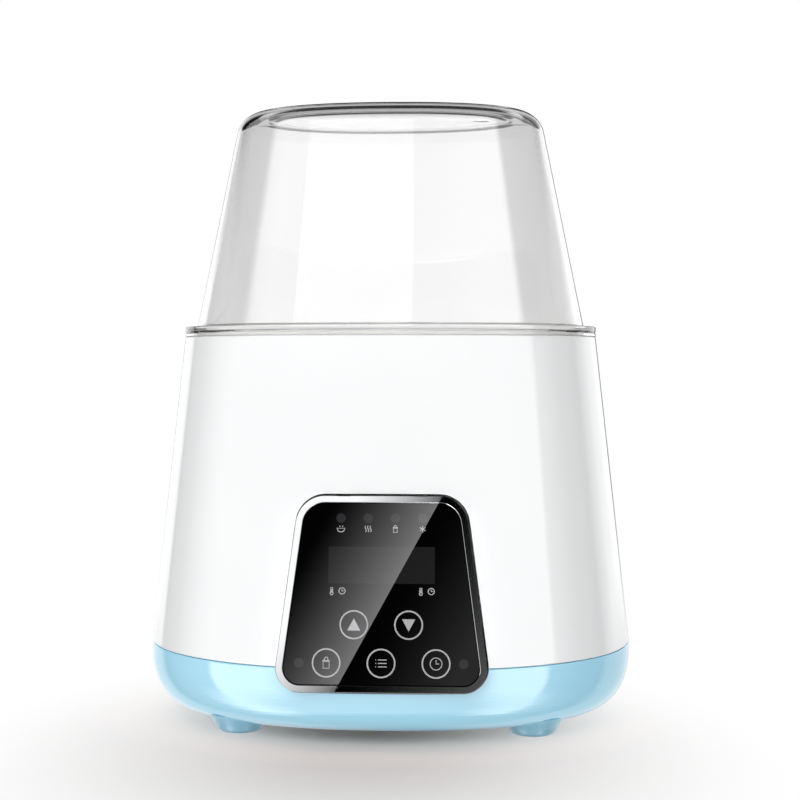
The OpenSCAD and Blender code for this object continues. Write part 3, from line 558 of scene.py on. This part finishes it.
def printed(name, lines, stroke, finish):
    """Draws lines, as lists of sideways and up places on the panel in millimetres, as ink on the glass."""
    points, edges = [], []
    for path in lines:
        first = len(points)
        shut = math.dist(path[0], path[-1]) < 1e-6
        path = path[:-1] if shut else path
        points += [(x * MM, up * MM, 0) for x, up in path]
        edges += [(first + n, first + n + 1) for n in range(len(path) - 1)]
        edges += [(first + len(path) - 1, first)] if shut else []
    mesh = grown(name, points, edges, ink_tree, {
        ink_sizes["Stroke"]: stroke * MM, ink_sizes["Film"]: 2 * INK * MM})
    for corner in mesh.vertices:
        corner.co = panel_place(corner.co.x / MM, glass_in - corner.co.z / MM, corner.co.y / MM)
    mesh.flip_normals()
    return put(name, mesh, finish, "base", "black_glass")


def spot(name, outlines, finish, film=INK):
    """Filled places of ink: each outline is a list of sideways and up places on the panel."""
    film_skin = bmesh.new()
    for outline in outlines:
        rows = [[film_skin.verts.new(panel_place(x, glass_in + depth, up)) for x, up in outline]
                for depth in (INK, -film)]
        for here in range(len(outline)):
            after = (here + 1) % len(outline)
            film_skin.faces.new((rows[0][here], rows[0][after], rows[1][after], rows[1][here]))
        film_skin.faces.new(rows[0][::-1])
        film_skin.faces.new(rows[1])
    return put(name, film_skin, finish, "base", "black_glass")


printed("key_rings", [round_line(x, up, ring_radius) for x, up in key_places], RING_STROKE, pale_ink)
arrow = [(-2.3, -2.0), (2.3, -2.0), (0, 2.2)]
spot("key_arrows", [[(x - PITCH, up + arrow_row) for x, up in arrow],
                    [(-x + PITCH, -up + arrow_row) for x, up in arrow]], pale_ink)
spot("display_window", [[(sx * display_wide, display_row + sy * display_tall)
                         for sx, sy in ((-1, -1), (1, -1), (1, 1), (-1, 1))]],
     ink("display_window_smoked", "#222223", 0.01), SMOKED_FILM)
lamp_places = [(column * PITCH, lamp_row) for column in (-1.5, -0.5, 0.5, 1.5)]
lamp_places += [(column * PITCH, key_row) for column in (-3, 3)]
spot("lamp_windows", [round_line(x, up, lamp_radius)[:-1] for x, up in lamp_places],
     ink("lamp_window_smoked", "#2E2E30", 0.02), SMOKED_FILM)


def moved(lines, x, up, size=1):
    """The lines of a sign, scaled and put at a place on the panel."""
    return [[(x + size * a, up + size * b) for a, b in path] for path in lines]


# Plain picture signs: bowl, steam, feeding bottle, snow crystal, thermometer, clock and a list. One
# stands under each lamp of the top row, two under each end of the display, and one in each lower key.
bowl = [[(-1.5, 0.2), (1.5, 0.2), (1.1, -0.7), (0.5, -1.1), (-0.5, -1.1), (-1.1, -0.7), (-1.5, 0.2)],
        [(-0.5, 0.7), (-0.3, 1.1)], [(0.5, 0.7), (0.7, 1.1)]]
wave, wave_turn, wave_rise, wave_foot = 0.25, 1.05, 0.37, -1.1
steam = [[(x + wave * math.sin(n * wave_turn), wave_foot + wave_rise * n) for n in range(7)]
         for x in (-0.9, 0, 0.9)]
bottle = [[(-0.7, -1.2), (0.7, -1.2), (0.7, 0.3), (-0.7, 0.3), (-0.7, -1.2)], [(-0.9, 0.5), (0.9, 0.5)],
          [(-0.5, 0.6), (-0.2, 1.3), (0.2, 1.3), (0.5, 0.6)]]
arm = 1.2
crystal = [[(-arm * math.cos(t), -arm * math.sin(t)), (arm * math.cos(t), arm * math.sin(t))]
           for t in (math.pi / 6, math.pi / 2, 5 * math.pi / 6)]
thermometer = [[(-0.35, -0.5), (-0.35, 1.1), (0.35, 1.1), (0.35, -0.5)], round_line(0, -0.85, 0.5, 16),
               [(0, -0.6), (0, 0.6)]]
clock = [round_line(0, 0, 1.2, 24), [(0, 0.75), (0, 0), (0.6, 0)]]
entries = [[(left, up), (right, up)] for up in (0.9, 0, -0.9)
           for left, right in ((-1.5, -1.3), (-0.8, 1.5))]
lamp_sign_drop, lamp_sign_size = 3.7, 0.95
pair_drop, pair_inset, pair_step, pair_clock_size = 2.6, 1.2, 3.6, 0.9
pair_row = display_row - display_tall - pair_drop
signs = []
for (x, up), sign in zip(lamp_places, (bowl, steam, bottle, crystal)):
    signs += moved(sign, x, up - lamp_sign_drop, lamp_sign_size)
for left in (-display_wide + pair_inset, display_wide - pair_inset - pair_step):
    signs += moved(thermometer, left, pair_row)
    signs += moved(clock, left + pair_step, pair_row, pair_clock_size)
for column, sign, size in ((-2, bottle, 1.5), (0, entries, 1.3), (2, clock, 1.7)):
    signs += moved(sign, column * PITCH, key_row, size)
printed("function_signs", signs, SIGN_STROKE, pale_ink)

# Behind the glass. A white light shroud keeps the lamps apart; foam pads carry the touch to the
# control board, which screws hold; milky lamps, the dark display and the buzzer sit on the board, and
# a flat cable leads to the base.
finish_nodes(board_mask, "control_board")
finish_nodes(steel, "panel_screws")
finish_nodes(pvc_black, "buzzer")
finish_nodes(moulded("polycarbonate_white_shroud", "#EDEDEB", "#E6E6E3", (0.4, 0.5), 0.6, 0.01),
             "light_shroud")
finish_nodes(moulded("conductive_foam_grey", "#4A4A4B", "#3A3A3B", (0.8, 0.95), 0.3, 0.08), "touch_pads")
finish_nodes(moulded("epoxy_milky_lamp", "#E3E1D6", "#D9D6C8", (0.15, 0.25), 0.8, 0.004),
             "indicator_leds")
finish_nodes(moulded("epoxy_dark_display", "#19191A", "#141415", (0.2, 0.3), 0.8, 0.004),
             "display_module")
finish_nodes(moulded("PVC_grey_flat_cable", "#A9ABAC", "#9B9D9E", (0.4, 0.5), 0.7, 0.02), "panel_cable")

# Water well. A deep white polypropylene pot that hangs by its flange on the housing's ledge, with an
# upstand that the cover drops over and an opening in its floor for the heating plate. Posts below
# take the steel tie screws that clamp the housing between well and base.
well_wall, well_draft, upstand, well_fit = 1.8, 1.4, 1.8, 0.3
flange_edge, upstand_edge = 0.3, 0.6
floor_toe = [(0.05, 3), (-0.9, 0.9), (-3, 0)]
tie_boss, tie_pilot_deep = 4.5, 9
clamp_boss, clamp_pilot_deep, clamp_circle = 3.6, 4.5, 50
plate_hole, hole_below, hole_above, hole_steps = 36.8, 6, 4, 160
well_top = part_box("water_well")[1].z / MM
floor_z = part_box("heating_plate")[1].z / MM
clamp_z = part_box("heater_clamp")[1].z / MM
mouth = ledge_half - well_fit - well_wall
flange_half = cover_half - rim_land - well_fit
pot = wall(
    [(mouth - well_draft + well_wall, floor_z - well_wall), (mouth + well_wall, ledge_z),
     (flange_half, ledge_z)]
    + arc(flange_half - flange_edge, rim_z - REST_GAP - flange_edge, flange_edge, 0, 90, 3)
    + [(mouth + well_wall, rim_z - REST_GAP)]
    + arc(mouth + well_wall - upstand_edge, well_top - upstand_edge, upstand_edge, 0, 90, 4)
    + arc(mouth + upstand_edge, well_top - upstand_edge, upstand_edge, 90, 180, 4)
    + [(mouth - well_draft + across, floor_z + up) for across, up in floor_toe])
clamp_places = [(clamp_circle * math.cos(t), clamp_circle * math.sin(t))
                for t in [math.radians(45 + 90 * corner) for corner in range(4)]]
boss_top = floor_z - well_wall / 2
pot = carved("well", pot, [
    *[rod((x, y, lip_z), (x, y, boss_top), tie_boss) for x, y in tie_places],
    *[rod((x, y, clamp_z), (x, y, boss_top), clamp_boss) for x, y in clamp_places]], "UNION")
pot = carved("well", pot, [
    rod((0, 0, floor_z - hole_below), (0, 0, floor_z + hole_above), plate_hole, hole_steps),
    *[rod((x, y, lip_z - OVERCUT), (x, y, lip_z + tie_pilot_deep), PILOT) for x, y in tie_places],
    *[rod((x, y, clamp_z - OVERCUT), (x, y, clamp_z + clamp_pilot_deep), PILOT)
      for x, y in clamp_places]])
# Polypropylene gives a milky white with a soft satin sheen.
pp_white = moulded("polypropylene_white_satin", "#F2F2EF", "#ECECE8", (0.28, 0.4), 0.5, 0.012, 1.49)
put("water_pot", pot, pp_white, "base", "white_satin", "water_well")
finish_nodes(steel, "tie_screws")

# Heater. A cast aluminium plate with a grey non-stick coat shows in the floor of the well, on a
# silicone seal; under it a steel clamp holds the tubular ring, the sensor and the thermal fuse. Two
# silicone leads feed the ring.


def non_stick_coat():
    """PTFE sprayed on cast aluminium: a dull mid grey with a fine speckle."""
    speck_size = 0.9
    finish, tree = blank("PTFE_coat_on_aluminium")
    place = add(tree, "ShaderNodeTexCoord").outputs["Object"]
    speck = add(tree, "ShaderNodeTexNoise", {
        "Vector": place, "Scale": 1 / (speck_size * MM), "Detail": 6, "Roughness": 0.7})
    shade = add(tree, "ShaderNodeMixRGB", {
        "Fac": speck.outputs["Fac"], "Color1": linear("#6B6E70"), "Color2": linear("#4A4D4F")})
    bump = add(tree, "ShaderNodeBump", {
        "Height": speck.outputs["Fac"], "Strength": 0.5, "Distance": 0.03 * MM})
    shader = add(tree, "ShaderNodeBsdfPrincipled", {
        "Base Color": shade.outputs["Color"], "Roughness": 0.42, "Normal": bump.outputs["Normal"]})
    add(tree, "ShaderNodeOutputMaterial", {"Surface": shader.outputs["BSDF"]})
    return finish


finish_nodes(non_stick_coat(), "heating_plate")
finish_nodes(steel, "heating_element", "heater_clamp", "clamp_screws", "temperature_sensor")
finish_nodes(moulded("silicone_grey_seal", "#6A6B6C", "#5E5F60", (0.55, 0.7), 0.6, 0.02), "plate_seal")
finish_nodes(moulded("glass_fibre_sleeve_ivory", "#E2DBC2", "#D4CCB0", (0.6, 0.75), 0.5, 0.05),
             "thermal_fuse")
finish_nodes(moulded("silicone_red_leads", "#A8261C", "#962018", (0.4, 0.5), 0.7, 0.01), "heater_leads")

# Bottle basket. White polypropylene mouldings: drained floors with posts on a divider, a frame of two
# rings that lies on the posts, and a handle pegged through the frame into the divider.
finish_nodes(pp_white, "bottle_basket", "bottle_rings", "basket_handle")

# Cover. A deep clear polycarbonate dome with a flange that has a fine groove round its edge, a rolled
# top edge, and a shallow oval recess with a steam vent. It is lifted off by hand.
top_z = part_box("cover_dome")[1].z / MM
flange_thick, root_half, top_half, clear_wall, edge_round, root_round = 3.8, 75.5, 58.8, 2.2, 10, 0.8
recess_half, recess_deep, recess_soft = 49.3, 0.3, 3.2
vent_x, vent_radius = 35.5, 3.25
flange_z = rim_z + flange_thick
flange_round, flange_break = 0.4, 0.12
groove_up, groove_tall, groove_deep = 1.65, 0.9, 0.45
cover_lean = math.atan((root_half - top_half) / (top_z - flange_z))
wall_across = clear_wall / math.cos(cover_lean)
seat_half, seat_top = mouth + well_wall + well_fit, rim_z + upstand + well_fit
inner_top = top_z - clear_wall


def soft_step(half, height, drop, spread, steps=6):
    """A small smooth step in a level wall, from its outer edge in."""
    shares = [step / steps for step in range(steps + 1)]
    return [(half - spread * t, height - drop * (3 * t * t - 2 * t ** 3)) for t in shares]


dome = wall(
    soft_step(recess_half - clear_wall, inner_top, recess_deep, recess_soft)[::-1]
    + fillet(top_half - wall_across + clear_wall * math.tan(cover_lean), inner_top, cover_lean,
             edge_round - clear_wall, 16)[::-1]
    + [(root_half - wall_across, seat_top), (seat_half, seat_top), (seat_half, rim_z + REST_GAP)]
    + arc(cover_half - flange_break, rim_z + REST_GAP + flange_break, flange_break, -90, 0, 4)
    + [(cover_half, rim_z + groove_up - groove_tall / 2), (cover_half - groove_deep, rim_z + groove_up),
       (cover_half, rim_z + groove_up + groove_tall / 2)]
    + arc(cover_half - flange_round, flange_z - flange_round, flange_round, 0, 90)
    + [(root_half + root_round, flange_z)]
    + arc(root_half + root_round, flange_z + root_round, root_round, 270,
          180 + math.degrees(cover_lean), 4)[1:]
    + fillet(top_half, top_z, cover_lean, edge_round, 20)
    + soft_step(recess_half, top_z, recess_deep, recess_soft))
dome = carved("cover", dome, [
    rod((vent_x, 0, top_z - 2 * clear_wall), (vent_x, 0, top_z + OVERCUT), vent_radius)])
# Polished polycarbonate is clear as glass, a touch grey, and shows its edges as dark and bright lines.
clear = polished("polycarbonate_clear_polished", "#EEEEEE", (0.0, 0.004), 25, 2, {
    "IOR": 1.5, "Transmission Weight": 1.0})
put("clear_dome", dome, clear, "cover", "clear_plastic", "cover_dome", crease=40)

# Camera. The photograph's own pinhole: its height, distance and turn come from the outlines of the
# body, the cover and the panel, for a picture of 800 by 800.
PICTURE = 800
focal, horizon_x, horizon_y = 1382, 390.5, 367.4
camera_away, camera_up, camera_turn = 547, 133.5, math.radians(2.69)
camera = bpy.data.cameras.new("photo_camera")
camera.sensor_width = 36
camera.lens = camera.sensor_width * focal / PICTURE
camera.shift_x = (PICTURE / 2 - horizon_x) / PICTURE
camera.shift_y = (horizon_y - PICTURE / 2) / PICTURE
viewer = bpy.data.objects.new("photo_camera", camera)
bpy.context.collection.objects.link(viewer)
viewer.location = (camera_away * math.sin(camera_turn) * MM, -camera_away * math.cos(camera_turn) * MM,
                   camera_up * MM)
viewer.rotation_euler = (math.pi / 2, 0, camera_turn)
bpy.context.scene.camera = viewer
bpy.context.scene.view_settings.view_transform = "Standard"

# Studio surround. Pure white for the camera; soft light comes dim from the sides and bright from
# overhead. Mirrors see a bright front, a dark flag at each side and a dark roof, which draw the
# bands and the lines on the gloss.


def set_levels(ramp, stops):
    """Gives a colour ramp its levels of grey: the first stop is at its start and the last at its end."""
    marks = ramp.color_ramp.elements
    for mark, level in zip(marks, (stops[0][1], stops[-1][1])):
        mark.color = (level, level, level, 1)
    for share, level in stops[1:-1]:
        marks.new(share).color = (level, level, level, 1)


def sweep(tree, direction, stops):
    """What mirrors see round the object: stops give degrees from the front, left negative, and a level."""
    ways = add(tree, "ShaderNodeSeparateXYZ", {"Vector": direction})
    front = add(tree, "ShaderNodeMath", {0: ways.outputs["Y"], 1: -1.0}, operation="MULTIPLY")
    turn = add(tree, "ShaderNodeMath", {0: ways.outputs["X"], 1: front.outputs[0]}, operation="ARCTAN2")
    share = add(tree, "ShaderNodeMapRange", {
        "Value": turn.outputs[0], "From Min": -math.pi, "From Max": math.pi})
    ramp = add(tree, "ShaderNodeValToRGB", {"Fac": share.outputs["Result"]})
    set_levels(ramp, [(degrees / 360 + 0.5, level) for degrees, level in stops])
    return ramp.outputs["Color"]


world = bpy.data.worlds.new("white_surround")
bpy.context.scene.world = world
world.use_nodes = True
sky = world.node_tree
sky.nodes.clear()
facing = add(sky, "ShaderNodeTexCoord").outputs["Generated"]
axes = add(sky, "ShaderNodeSeparateXYZ", {"Vector": facing})
rise = axes.outputs["Z"]

# Belts for mirrors, from the lowest up: each fades into the next between its two rises, where straight
# down is -1 and straight up is 1, and above the last lies the dark roof.
WHITE = (1, 1, 1, 1)
ROOF = (0.02, 0.02, 0.02, 1)
belts = [
    (-0.95, -0.89, [(-180, 0.3), (180, 0.3)]),
    (-0.75, -0.45, [
        (-180, 0.2), (-158, 1.0), (-128, 1.0), (-118, 0.3), (-92, 0.8), (-73, 5.5), (-62, 5.5), (-40, 2.6),
        (0, 2.2), (28, 2.2), (46, 5.0), (59, 5.5), (72, 1.2), (95, 0.1), (112, 0.1), (120, 1.0), (158, 1.0),
        (180, 0.2)]),
    (-0.16, -0.08, [
        (-180, 0.2), (-158, 1.2), (-128, 1.2), (-118, 0.1), (-92, 0.6), (-73, 1.2), (-69, 6.5), (-42, 6.5),
        (-24, 3.0), (20, 3.0), (34, 6.5), (57, 6.5), (60, 1.0), (78, 0.1), (104, 0.1), (112, 1.2), (158, 1.2),
        (180, 0.2)]),
    (0.18, 0.26, [
        (-180, 0.1), (-163, 0.1), (-158, 1.7), (-128, 1.7), (-124, 0.05), (-103, 0.05), (-90, 1.0),
        (-79, 2.2), (-70, 3.0), (0, 3.0), (40, 4.0), (60.5, 4.4), (62.5, 1.7), (72, 0.8), (81, 0.05),
        (104, 0.05), (112, 1.4), (125, 2.4), (150, 2.0), (158, 1.7), (163, 0.1), (180, 0.1)]),
    (0.72, 0.82, [
        (-180, 0.02), (-164, 0.02), (-160, 1.2), (-141, 1.2), (-136, 0.0), (-110, 0.0), (-80, 0.05),
        (-73, 0.3), (-66, 3.4), (-55, 4.0), (0, 4.0), (40, 4.4), (58, 4.2), (63, 0.5), (75, 0.2), (90, 0.05),
        (110, 0.35), (125, 0.6), (138, 1.4), (160, 1.4), (164, 0.02), (180, 0.02)])]
mirrored = ROOF
for belt_low, belt_high, stops in belts[::-1]:
    climb = add(sky, "ShaderNodeMapRange", {"Value": rise, "From Min": belt_low, "From Max": belt_high})
    mirrored = add(sky, "ShaderNodeMixRGB", {
        "Fac": climb.outputs["Result"], "Color1": sweep(sky, facing, stops),
        "Color2": mirrored}).outputs["Color"]

# Through the clear cover: white straight ahead, the mirrors' surround where its walls throw a look up
# to the front, and behind it a strip light between dark ceilings, which draws the lines on its rim.
high = add(sky, "ShaderNodeMapRange", {
    "Value": rise, "From Min": 0.28, "From Max": 0.36}, interpolation_type="SMOOTHSTEP")
ahead = add(sky, "ShaderNodeMixRGB", {
    "Fac": high.outputs["Result"], "Color1": WHITE, "Color2": mirrored})
strip = add(sky, "ShaderNodeValToRGB", {"Fac": rise})
set_levels(strip, [(0, 1), (0.29, 0.92), (0.31, 0.01), (0.41, 0.01), (0.44, 0.6), (0.65, 0.65),
                   (0.7, 0.01), (1, 0.01)])
strip_end = add(sky, "ShaderNodeValToRGB", {"Fac": rise})
set_levels(strip_end, [(0, 1), (0.26, 0.95), (0.31, 0.01), (0.62, 0.01), (0.66, 0.9), (0.74, 0.9),
                       (0.78, 0.01), (1, 0.01)])
sideways = add(sky, "ShaderNodeMath", {0: axes.outputs["X"]}, operation="ABSOLUTE")
off_centre = add(sky, "ShaderNodeMapRange", {
    "Value": sideways.outputs[0], "From Min": 0.22, "From Max": 0.4})
ceiling = add(sky, "ShaderNodeMixRGB", {
    "Fac": off_centre.outputs["Result"], "Color1": strip.outputs["Color"],
    "Color2": strip_end.outputs["Color"]})
behind = add(sky, "ShaderNodeMapRange", {"Value": axes.outputs["Y"], "From Min": 0.05, "From Max": 0.2})
through = add(sky, "ShaderNodeMixRGB", {
    "Fac": behind.outputs["Result"], "Color1": ahead.outputs["Color"], "Color2": ceiling.outputs["Color"]})

# Each kind of look gets its own surround: mirrored, bent through the cover, soft, or straight.
SIDE_LEVEL, OVERHEAD_LEVEL = 0.17, 1.8
look = add(sky, "ShaderNodeLightPath")
bent = look.outputs["Is Transmission Ray"]
gloss_seen = add(sky, "ShaderNodeMixRGB", {
    "Fac": bent, "Color1": mirrored, "Color2": through.outputs["Color"]})
sharp = add(sky, "ShaderNodeMath", {0: look.outputs["Is Glossy Ray"], 1: bent}, operation="MAXIMUM")
overhead = add(sky, "ShaderNodeMapRange", {
    "Value": rise, "From Min": 0.7, "From Max": 0.8, "To Min": SIDE_LEVEL, "To Max": OVERHEAD_LEVEL},
    interpolation_type="SMOOTHSTEP")
soft = add(sky, "ShaderNodeMixRGB", {
    "Fac": sharp.outputs[0], "Color1": overhead.outputs["Result"], "Color2": gloss_seen.outputs["Color"]})
shown = add(sky, "ShaderNodeMixRGB", {
    "Fac": look.outputs["Is Camera Ray"], "Color1": soft.outputs["Color"], "Color2": WHITE})
surround = add(sky, "ShaderNodeBackground", {"Color": shown.outputs["Color"], "Strength": 1.0})
add(sky, "ShaderNodeOutputWorld", {"Surface": surround.outputs["Background"]})

# A square softbox at the upper left front lights the white housing, and mirrors don't see it.
softbox = bpy.data.lights.new("front_softbox", "AREA")
softbox.shape, softbox.size, softbox.energy = "SQUARE", 1.2, 10.6
softbox_at = bpy.data.objects.new("front_softbox", softbox)
bpy.context.collection.objects.link(softbox_at)
softbox_at.location = (-0.45, -1.5, 0.85)
softbox_aim = Vector((0, 0, 0.1))
softbox_at.rotation_euler = (softbox_aim - softbox_at.location).to_track_quat("-Z", "Y").to_euler()
softbox_at.visible_glossy = False

# Studio floor. White paper with a painted grey shadow pool round the front of the object, in which the
# paper is lit and takes the object's rendered shadow; painted shade makes it warm and dark towards the base,
# where the warmth offsets the blue light that the base throws on it, and it is pure white beyond. It glows
# as soft light for the object, though hardly under it, and mirrors don't see it.
floor_reach = 4


def studio_paper():
    """Matt white paper: painted shade darkens it the nearer a place lies to the object, and outside the
    painted shadow pool it glows white.
    """
    # The painted shadow pool's middle and size, and the base's plan, from which the painted shade spreads.
    pool_x, pool_y, pool_wide, pool_deep = -8, -65, 153, 168
    plan_wide, plan_deep = 93, 69
    painted_shade_tones = ((0.07, "#D0AC9E"), (0.23, "#F2D8CD"), (0.52, "#D0C8C5"), (0.78, "#CBC9C7"))
    under_glow, uplight = 0.03, 0.9
    finish, tree = blank("studio_paper_painted_shadow")
    place = add(tree, "ShaderNodeTexCoord").outputs["Object"]
    from_pool = add(tree, "ShaderNodeVectorMath", {
        0: place, 1: (-pool_x * MM, -pool_y * MM, 0)}, operation="ADD")
    oval = add(tree, "ShaderNodeVectorMath", {
        0: from_pool.outputs[0], 1: (1 / (pool_wide * MM), 1 / (pool_deep * MM), 0)}, operation="MULTIPLY")
    away = add(tree, "ShaderNodeVectorMath", {0: oval.outputs[0]}, operation="LENGTH")
    # The painted shadow pool: lit matt paper in its middle, fading out to the white glow.
    painted_shadow_fade = add(tree, "ShaderNodeMapRange", {"Value": away.outputs["Value"]}, interpolation_type="SMOOTHSTEP")
    plan = add(tree, "ShaderNodeVectorMath", {
        0: place, 1: (1 / (plan_wide * MM), 1 / (plan_deep * MM), 0)}, operation="MULTIPLY")
    beyond = add(tree, "ShaderNodeVectorMath", {0: plan.outputs[0]}, operation="LENGTH")
    shade = add(tree, "ShaderNodeMapRange", {
        "Value": beyond.outputs["Value"], "From Min": 0.5, "From Max": 2.0})
    # Painted shade: the paper turns darker and warmer towards the base.
    painted_shade_tone = add(tree, "ShaderNodeValToRGB", {"Fac": shade.outputs["Result"]})
    marks = painted_shade_tone.color_ramp.elements
    marks[0].color, marks[1].color = linear("#8C7066"), linear("#CDCCCB")
    for share, code in painted_shade_tones:
        marks.new(share).color = linear(code)
    matt = add(tree, "ShaderNodeBsdfDiffuse", {"Color": painted_shade_tone.outputs["Color"]})
    seen = add(tree, "ShaderNodeLightPath")
    looked_at = add(tree, "ShaderNodeMath", {
        0: seen.outputs["Is Camera Ray"], 1: seen.outputs["Is Transmission Ray"]}, operation="MAXIMUM")
    clear_of = add(tree, "ShaderNodeMapRange", {
        "Value": beyond.outputs["Value"], "From Min": 0.7, "From Max": 1.05, "To Min": under_glow,
        "To Max": uplight})
    strength = add(tree, "ShaderNodeMapRange", {
        "Value": looked_at.outputs[0], "To Min": clear_of.outputs["Result"], "To Max": 1.0})
    glow = add(tree, "ShaderNodeEmission", {"Color": WHITE, "Strength": strength.outputs["Result"]})
    unseen = add(tree, "ShaderNodeMath", {0: 1.0, 1: looked_at.outputs[0]}, operation="SUBTRACT")
    glow_share = add(tree, "ShaderNodeMath", {
        0: painted_shadow_fade.outputs["Result"], 1: unseen.outputs[0]}, operation="MAXIMUM")
    sheet = add(tree, "ShaderNodeMixShader", {
        0: glow_share.outputs[0], 1: matt.outputs["BSDF"], 2: glow.outputs["Emission"]})
    add(tree, "ShaderNodeOutputMaterial", {"Surface": sheet.outputs["Shader"]})
    return finish


floor_mesh = bpy.data.meshes.new("studio_floor")
floor_mesh.from_pydata([(sx * floor_reach, sy * floor_reach, 0)
                        for sx, sy in ((-1, -1), (1, -1), (1, 1), (-1, 1))], [], [(0, 1, 2, 3)])
floor_mesh.materials.append(studio_paper())
studio_floor = bpy.data.objects.new("studio_floor", floor_mesh)
bpy.context.collection.objects.link(studio_floor)
studio_floor.visible_glossy = False

# Cards before the panel, which only mirrors see: the glass shows a glare that grows towards a slanting
# edge, and the frame shows it bright at the left and dark at the right.
CARD_AWAY, CARD_OVER = 30, 0.5
GLARE_SLANT, GLARE_SHIFT = 0.5525, 2.46


def facing_place(x, up):
    """The place on the cards that the camera sees mirrored at a point of the panel, in metres."""
    point = Vector(panel_place(x, 0, up))
    outwards = (Vector(panel_place(x, -1, up)) - point).normalized()
    ray = (point - viewer.location).normalized()
    back = ray - 2 * ray.dot(outwards) * outwards
    return point + back * (CARD_AWAY * MM / back.dot(outwards))


def glare(name, reach_left, dim, bright, curve, reach_right, far):
    """Light that goes from dim to bright up to the slanting edge, and from none to far beyond it."""
    finish, tree = blank(name)
    on_panel = add(tree, "ShaderNodeSeparateXYZ", {
        "Vector": add(tree, "ShaderNodeTexCoord").outputs["UV"]})
    slant = add(tree, "ShaderNodeMath", {
        0: on_panel.outputs["Y"], 1: -GLARE_SLANT, 2: on_panel.outputs["X"]}, operation="MULTIPLY_ADD")
    past = add(tree, "ShaderNodeMath", {0: slant.outputs[0], 1: GLARE_SHIFT}, operation="SUBTRACT")
    before = add(tree, "ShaderNodeMath", {0: past.outputs[0], 1: 0.0}, operation="LESS_THAN")
    near = add(tree, "ShaderNodeMapRange", {
        "Value": past.outputs[0], "From Min": -reach_left, "From Max": 0.0})
    curved = add(tree, "ShaderNodeMath", {0: near.outputs["Result"], 1: curve}, operation="POWER")
    left = add(tree, "ShaderNodeMapRange", {
        "Value": curved.outputs[0], "To Min": dim, "To Max": bright})
    beyond = add(tree, "ShaderNodeMapRange", {
        "Value": past.outputs[0], "From Min": 0.0, "From Max": reach_right})
    square = add(tree, "ShaderNodeMath", {0: beyond.outputs["Result"], 1: 2.0}, operation="POWER")
    right = add(tree, "ShaderNodeMath", {0: square.outputs[0], 1: far}, operation="MULTIPLY")
    level = add(tree, "ShaderNodeMath", {
        0: left.outputs["Result"], 1: before.outputs[0], 2: right.outputs[0]}, operation="MULTIPLY_ADD")
    light = add(tree, "ShaderNodeEmission", {"Color": WHITE, "Strength": level.outputs[0]})
    add(tree, "ShaderNodeOutputMaterial", {"Surface": light.outputs["Emission"]})
    return finish


def card(name, rings, finish):
    """A card between two outlines of the panel, or one filled outline, that only mirrors see."""
    places = [point for ring in rings for point in ring]
    count = len(rings[0])
    faces = [tuple(range(count))] if len(rings) == 1 else [
        (n, (n + 1) % count, count + (n + 1) % count, count + n) for n in range(count)]
    sheet = bpy.data.meshes.new(name)
    sheet.from_pydata([facing_place(x, up) for x, up in places], [], faces)
    layer = sheet.uv_layers.new(name="panel_place")
    for loop in sheet.loops:
        layer.data[loop.index].uv = places[loop.vertex_index]
    sheet.materials.append(finish)
    holder = bpy.data.objects.new(name, sheet)
    bpy.context.collection.objects.link(holder)
    for kind in ("camera", "diffuse", "transmission", "shadow", "volume_scatter"):
        setattr(holder, "visible_" + kind, False)


card("glass_card", [panel_outline(frame_wide)], glare(
    "studio_card_glass", reach_left=38, dim=0.0, bright=4.0, curve=2.0, reach_right=39, far=0.5))
card("frame_card", [panel_outline(-CARD_OVER), panel_outline(frame_wide)], glare(
    "studio_card_frame", reach_left=29, dim=1.15, bright=0.15, curve=1.0, reach_right=49, far=0.08))
